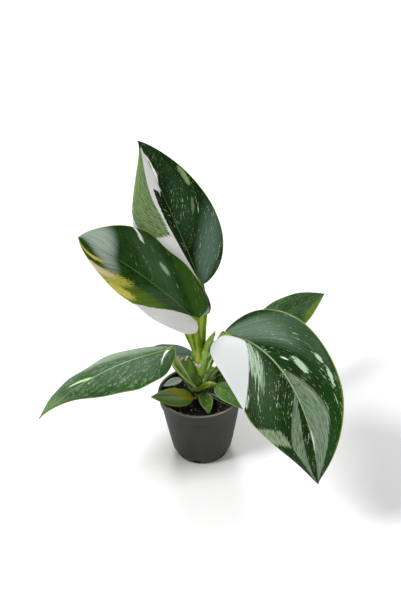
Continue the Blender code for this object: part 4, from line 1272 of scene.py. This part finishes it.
def sheaths():
    """The torn sheath on the left of the stem, and the sheath that the new leaf grows out of."""
    coat = sheath_finish()
    start = STEM_FOOT + np.array((0.0006, 0.0, 0.007))
    end = STEM_FOOT + np.array((-0.0122, -0.0020, 0.0365))
    path = start + (end - start) * np.linspace(0.0, 1.0, 30)[:, None]
    radii = np.linspace(0.0058, 0.0056, 30)
    edge = (0.0, -0.0012, 0.0010, -0.0020, 0.0014, -0.0014, 0.0008, -0.0018, 0.0006, -0.0006)
    places, flat = sheath_points(path, radii, 248.0, 165.0, edge, 60, 9)
    item = show("torn_sheath_dressed", grid_mesh("torn_sheath_dressed", places, flat), coat,
                ["torn_sheath"], SLOTS["torn_sheath"])
    thicken(item, SHEATH_THICKNESS)
    path = spear_path(40)[3:30] + np.array((0.0012, 0.0004, -0.0010))
    radii = np.linspace(0.0034, 0.0037, len(path))
    places, flat = sheath_points(path, radii, 20.0, 200.0, (0.0, 0.0008, 0.0004, 0.0014, 0.0022), 24, 5)
    item = show("spear_sheath_dressed", grid_mesh("spear_sheath_dressed", places, flat), coat,
                ["spear_sheath"], SLOTS["spear_sheath"])
    thicken(item, 0.0005)


sheaths()


def membrane_finish():
    finish, steps, shader = new_material("dry_membrane")
    clouds = steps.group(MOTTLE, Size=0.0015, Stretch=2.0, Seed=31.0)
    colour = steps.blend(steps.fade(clouds["Cloud"], 0.35, 0.65), tint(150, 146, 122), tint(214, 212, 192))
    join_up(steps, shader, colour, clouds["Grain"], 0.2, 0.6, clouds["Grain"], 0.0002, 0.8)
    return finish


def node_membrane():
    """The papery rim left round the axis where an old sheath has dried back."""
    rows, columns = 8, 64
    share = np.linspace(0.0, 1.0, columns + 1)
    turn = np.radians(185.0 + 150.0 * share)
    rag = np.interp(share * 17, range(18), [0, 3, 1, 4, 0, 2, 5, 1, 3, 0, 4, 2, 5, 1, 3, 0, 2, 0]) * 0.0003
    places = np.zeros((rows + 1, columns + 1, 3))
    flat = np.zeros((rows + 1, columns + 1, 2))
    for row in range(rows + 1):
        up = row / rows
        radius = 0.0050 + 0.0005 * up + 0.0002 * np.sin(40.0 * share)
        height = 0.0300 - 0.0060 * share + up * (0.0026 + rag)
        places[row] = STEM_FOOT + np.stack([radius * np.cos(turn) - 0.0004, radius * np.sin(turn) - 0.0010,
                                            height], -1)
        flat[row, :, 0] = up
        flat[row, :, 1] = share
    item = show("node_membrane", grid_mesh("node_membrane", places, flat), membrane_finish(),
                slot="sheath_green")
    thicken(item, 0.0003)


node_membrane()


# ---------------------------------------------------------------- stem and dry stalk
def stem_finish():
    finish, steps, shader = new_material("stem_and_roots")
    clouds = steps.group(MOTTLE, Size=0.004, Stretch=1.5, Seed=9.0)
    level = steps.split(steps.node("ShaderNodeTexCoord").outputs["Object"])[2]
    colour = steps.blend(steps.fade(clouds["Cloud"], 0.35, 0.65), tint(66, 100, 18), tint(110, 140, 40))
    above = steps.fade(level, SOIL_LEVEL - 0.002, SOIL_LEVEL + 0.003)
    colour = steps.blend(above, tint(150, 132, 96), colour)
    ring = steps.math("COSINE", steps.times(level, 1500.0))
    colour = steps.blend(steps.times(steps.fade(ring, 0.8, 1.0), 0.4), colour, tint(190, 196, 150))
    join_up(steps, shader, colour, clouds["Grain"], 0.2, 0.4, steps.plus(ring, clouds["Grain"]), 0.0002, 0.6)
    return finish


def dress_frame_node(name, finish):
    """Keeps a frame node as it is and gives it a finish of its own."""
    item = frame["nodes"][name]
    for index in range(len(item.material_slots)):
        item.material_slots[index].material = finish


dress_frame_node("stem_with_roots", stem_finish())


def dry_finish():
    finish, steps, shader = new_material("dry_fibres")
    bands = steps.group(STALK_STRIPES, Count=14.0, Width=0.8, Seed=11.0)
    clouds = steps.group(MOTTLE, Size=0.002, Seed=11.0)
    colour = steps.blend(bands["Stripes"], tint(170, 156, 116), tint(214, 204, 166))
    colour = steps.blend(steps.fade(clouds["Cloud"], 0.5, 0.75), colour, tint(120, 100, 66))
    join_up(steps, shader, colour, clouds["Grain"], 0.2, 0.7, bands["Height"], 0.0002, 0.9)
    return finish


def dry_stalk():
    low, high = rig.box("dry_stalk")
    middle = (low + high) / 2
    share = np.linspace(0.0, 1.0, 20)
    path = np.stack([low.x + 0.0002 + (high.x - low.x - 0.0004) * share,
                     middle.y + 0.0004 * np.sin(share * 5.0),
                     middle.z - 0.0004 + 0.0006 * np.sin(share * np.pi)], -1)
    size = 0.00098 - 0.0003 * share
    places, flat = fleshy_stalk(path, size * 1.1, size * 0.8, 0.3 + 0.0 * share, (0.0, 0.0, 1.0), 20)
    show("dry_stalk_fibrous", closed_tube("dry_stalk_fibrous", places, flat), dry_finish(), ["dry_stalk"],
         SLOTS["dry_stalk"])


dry_stalk()


# ---------------------------------------------------------------- soil
def soil_finish():
    """Damp peat: almost black, with browner crumbs."""
    finish, steps, shader = new_material("potting_mix")
    clouds = steps.group(MOTTLE, Size=0.003, Seed=13.0)
    colour = steps.blend(steps.fade(clouds["Cloud"], 0.4, 0.7), tint(12, 10, 7), tint(34, 27, 18))
    colour = steps.blend(steps.fade(clouds["Grain"], 0.60, 0.72), colour, tint(62, 46, 30))
    lumps = steps.plus(clouds["Cloud"], clouds["Grain"])
    join_up(steps, shader, colour, clouds["Grain"], 0.3, 0.6, lumps, 0.0008, 1.0)
    return finish


def crumb_finish(name, dark, light, size):
    finish, steps, shader = new_material(name)
    clouds = steps.group(MOTTLE, Size=size, Seed=17.0)
    colour = steps.blend(steps.fade(clouds["Cloud"], 0.35, 0.65), dark, light)
    join_up(steps, shader, colour, clouds["Grain"], 0.2, 0.65, clouds["Grain"], 0.0003, 0.8)
    return finish


def wall_radius(height):
    """The pot's outer radius at a height: a taper that bulges slightly."""
    share = (height - SHOULDER_HEIGHT) / (POT_HEIGHT - SHOULDER_HEIGHT)
    straight = SHOULDER_RADIUS + share * (RIM_RADIUS - BAND_STEP - SHOULDER_RADIUS)
    return straight + WALL_BULGE * np.sin(np.pi * share)


def level_ring(radius, height, angle):
    """Points round a level circle, at the given angles."""
    return np.stack([radius * np.cos(angle), radius * np.sin(angle), 0.0 * angle + height], -1)


def soil_bumps(x, y):
    """Uneven height of the soil's surface, in metres."""
    rough = 0.5 * np.sin(310 * x + 2.0 * np.sin(260 * y))
    rough += 0.5 * np.sin(340 * y + 1.7 * np.sin(290 * x + 1.0))
    fine = 0.5 * np.sin(900 * x + 3.0 * np.sin(820 * y)) * np.sin(960 * y + 1.3)
    out = np.hypot(x, y) / SOIL_RADIUS
    towards = np.clip(0.35 - 1.1 * x / SOIL_RADIUS + 0.3 * y / SOIL_RADIUS, 0.0, 1.0)
    banked = 0.0026 * np.clip(out, 0.0, 1.0)**4 * towards
    return 0.0006 * rough + 0.0004 * fine + banked


def soil_body(coat):
    """The whole ball of soil: a lumpy top, and sides that follow the pot."""
    random = np.random.default_rng(5)
    rings = 34
    turns = 110
    edge = wall_radius(SOIL_LEVEL - SOIL_FALL) - WALL - FIT
    angle = np.linspace(0.0, 2.0 * np.pi, turns + 1)
    places = []
    for ring in range(1, rings + 1):
        x, y = level_ring(edge * ring / rings, 0.0, angle).T[:2]
        jitter = random.normal(0.0, 0.00028, turns + 1)
        jitter[-1] = jitter[0]
        height = SOIL_LEVEL - SOIL_FALL * (ring / rings)**3 + soil_bumps(x, y) + jitter - 0.0002
        places.append(np.stack([x, y, height], -1))
    for height in np.linspace(SOIL_LEVEL - 0.004, SHOULDER_HEIGHT, 8):
        places.append(level_ring(wall_radius(height) - WALL - FIT, height, angle))
    places.append(level_ring(BASE_RADIUS - WALL / 2 - FIT, 0.0016, angle))
    places = np.array(places)
    flat = np.zeros(places.shape[:2] + (2,))
    mesh = closed_tube("potting_soil_lumpy", places, flat)
    show("potting_soil_lumpy", mesh, coat, ["potting_soil"], SLOTS["potting_soil"])


def scatter_crumbs(name, coat, count, sizes, spread, flatness, seed):
    """Loose crumbs on the soil, each an uneven little lump, as one piece."""
    random = np.random.default_rng(seed)
    cage = bmesh.new()
    for _ in range(count):
        turn = random.uniform(0.0, 2.0 * np.pi)
        radius = CRUMB_RADIUS * math.sqrt(random.uniform(spread[0]**2, spread[1]**2))
        x, y = radius * math.cos(turn), radius * math.sin(turn)
        size = random.uniform(*sizes) * (0.6 + 0.4 * random.uniform())
        shape = Matrix.Diagonal((size * random.uniform(0.7, 1.5), size * random.uniform(0.6, 1.1),
                                 size * flatness, 1.0))
        spin = Matrix.Rotation(random.uniform(0, 6.28), 4, "Z")
        lean = Matrix.Rotation(random.uniform(-0.7, 0.7), 4, "X")
        height = SOIL_LEVEL - SOIL_FALL * (radius / SOIL_EDGE)**3 + soil_bumps(x, y) + size * flatness * 0.7
        place = Matrix.Translation((x, y, height)) @ spin @ lean @ shape
        made = bmesh.ops.create_icosphere(cage, subdivisions=1, radius=1.0)["verts"]
        for corner in made:
            corner.co = place @ (corner.co * (1.0 + random.uniform(-0.28, 0.28)))
    mesh = bpy.data.meshes.new(name)
    cage.to_mesh(mesh)
    cage.free()
    show(name, mesh, coat, slot="soil_mix", smooth=False)


soil_coat = soil_finish()
soil_body(soil_coat)
scatter_crumbs("peat_crumbs", soil_coat, 520, (0.0004, 0.0012), (0.0, 1.0), 0.7, 21)
scatter_crumbs("bark_crumbs", crumb_finish("bark", tint(60, 42, 26), tint(112, 86, 56), 0.002), 150,
               (0.0005, 0.0013), (0.45, 1.0), 0.5, 22)
scatter_crumbs("pale_crumbs", crumb_finish("dry_chips", tint(150, 130, 96), tint(196, 182, 150), 0.002), 90,
               (0.0004, 0.0011), (0.5, 1.0), 0.6, 23)


# ---------------------------------------------------------------- nursery pot
def plastic_finish():
    """Dark grey moulded plastic: satin and faintly dusty, with a painted highlight along the top of the rim."""
    finish, steps, shader = new_material("grey_plastic")
    clouds = steps.group(MOTTLE, Size=0.014, Stretch=1.6, Seed=19.0)
    dust = steps.group(MOTTLE, Size=0.004, Seed=20.0)
    colour = steps.blend(steps.fade(clouds["Cloud"], 0.3, 0.7), tint(30, 31, 25), tint(43, 44, 37))
    scuffed = steps.times(steps.fade(dust["Grain"], 0.62, 0.74), 0.25)
    colour = steps.blend(scuffed, colour, tint(96, 94, 84))
    level = steps.split(steps.node("ShaderNodeTexCoord").outputs["Object"])[2]
    # Painted highlight: the top of the rim turns pale grey where light catches the lip.
    rim_highlight = steps.fade(level, POT_HEIGHT - 0.0009, POT_HEIGHT - 0.0002)
    colour = steps.blend(steps.times(rim_highlight, 0.75), colour, tint(122, 121, 110))
    shader.inputs["Specular IOR Level"].default_value = 0.3
    height = steps.plus(dust["Grain"], clouds["Grain"])
    join_up(steps, shader, colour, clouds["Cloud"], 0.2, 0.46, height, 0.00008, 0.5)
    return finish


def pot_profile():
    """From the middle of the inner floor up the inside, over the rim and down the outside."""
    band_foot = POT_HEIGHT - BAND_HEIGHT
    heights = np.linspace(SHOULDER_HEIGHT, band_foot, 14)
    inner = [(0.0002, FLOOR_HEIGHT), (BASE_RADIUS - WALL / 2, FLOOR_HEIGHT)]
    inner += [(wall_radius(z) - WALL, z) for z in heights]
    lip = RIM_RADIUS - BAND_STEP - WALL
    inner += [(lip, POT_HEIGHT - WALL), (lip + 0.0001, POT_HEIGHT - 0.0003), (lip + 0.0004, POT_HEIGHT)]
    outer = [(RIM_RADIUS - 0.0005, POT_HEIGHT), (RIM_RADIUS - 0.0001, POT_HEIGHT - 0.0002)]
    outer += [(RIM_RADIUS, POT_HEIGHT - 0.0006), (RIM_RADIUS - 0.0001, POT_HEIGHT - 0.0011)]
    outer += [(RIM_RADIUS - 0.0004, POT_HEIGHT - 0.0014)]
    outer += [(wall_radius(band_foot) + BAND_STEP + 0.0001, band_foot + 0.0007)]
    outer += [(wall_radius(band_foot) + BAND_STEP * 0.9, band_foot + 0.0002)]
    outer += [(wall_radius(z), z) for z in heights[::-1] - 0.0002]
    foot = [(SHOULDER_RADIUS - 0.0012, 0.0048), (BASE_RADIUS + 0.0014, 0.0016)]
    foot += [(BASE_RADIUS + 0.0006, 0.0004), (BASE_RADIUS, 0.0), (0.0002, 0.0)]
    return inner + outer + foot


def turned(profile, turns):
    """Rings of points from turning a profile of radii and heights round the upright axis."""
    angle = np.linspace(0.0, 2.0 * np.pi, turns + 1)
    return np.array([level_ring(radius, height, angle) for radius, height in profile])


def nursery_pot():
    """The moulded pot, with its drainage slots cut through the lower corner."""
    places = turned(pot_profile(), 144)
    flat = np.zeros(places.shape[:2] + (2,))
    mesh = closed_tube("nursery_pot_moulded", places, flat)
    pot = show("nursery_pot_moulded", mesh, plastic_finish(), ["nursery_pot"], SLOTS["nursery_pot"])
    pot.data.set_sharp_from_angle(angle=math.radians(50.0))
    cage = bmesh.new()
    for index in range(DRAIN_COUNT):
        turn = math.radians(DRAIN_TURN + index * 360.0 / DRAIN_COUNT)
        made = bmesh.ops.create_cube(cage, size=1.0)["verts"]
        bmesh.ops.scale(cage, vec=DRAIN_SIZE, verts=made)
        bmesh.ops.translate(cage, vec=DRAIN_MIDDLE, verts=made)
        bmesh.ops.rotate(cage, cent=(0, 0, 0), matrix=Matrix.Rotation(turn, 3, "Z"), verts=made)
    cutter_mesh = bpy.data.meshes.new("drain_cutter")
    cage.to_mesh(cutter_mesh)
    cage.free()
    cutter = bpy.data.objects.new("drain_cutter", cutter_mesh)
    bpy.context.scene.collection.objects.link(cutter)
    step = pot.modifiers.new("drains", "BOOLEAN")
    step.operation = "DIFFERENCE"
    step.solver = "EXACT"
    step.object = cutter
    bpy.context.view_layer.objects.active = pot
    bpy.ops.object.modifier_apply(modifier="drains")
    bpy.data.objects.remove(cutter, do_unlink=True)


nursery_pot()

with open("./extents.json", "w") as sizes:
    json.dump({"cad": [list(v) for v in CAD_BOX], "visual": [list(v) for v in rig.bounds()]}, sizes)
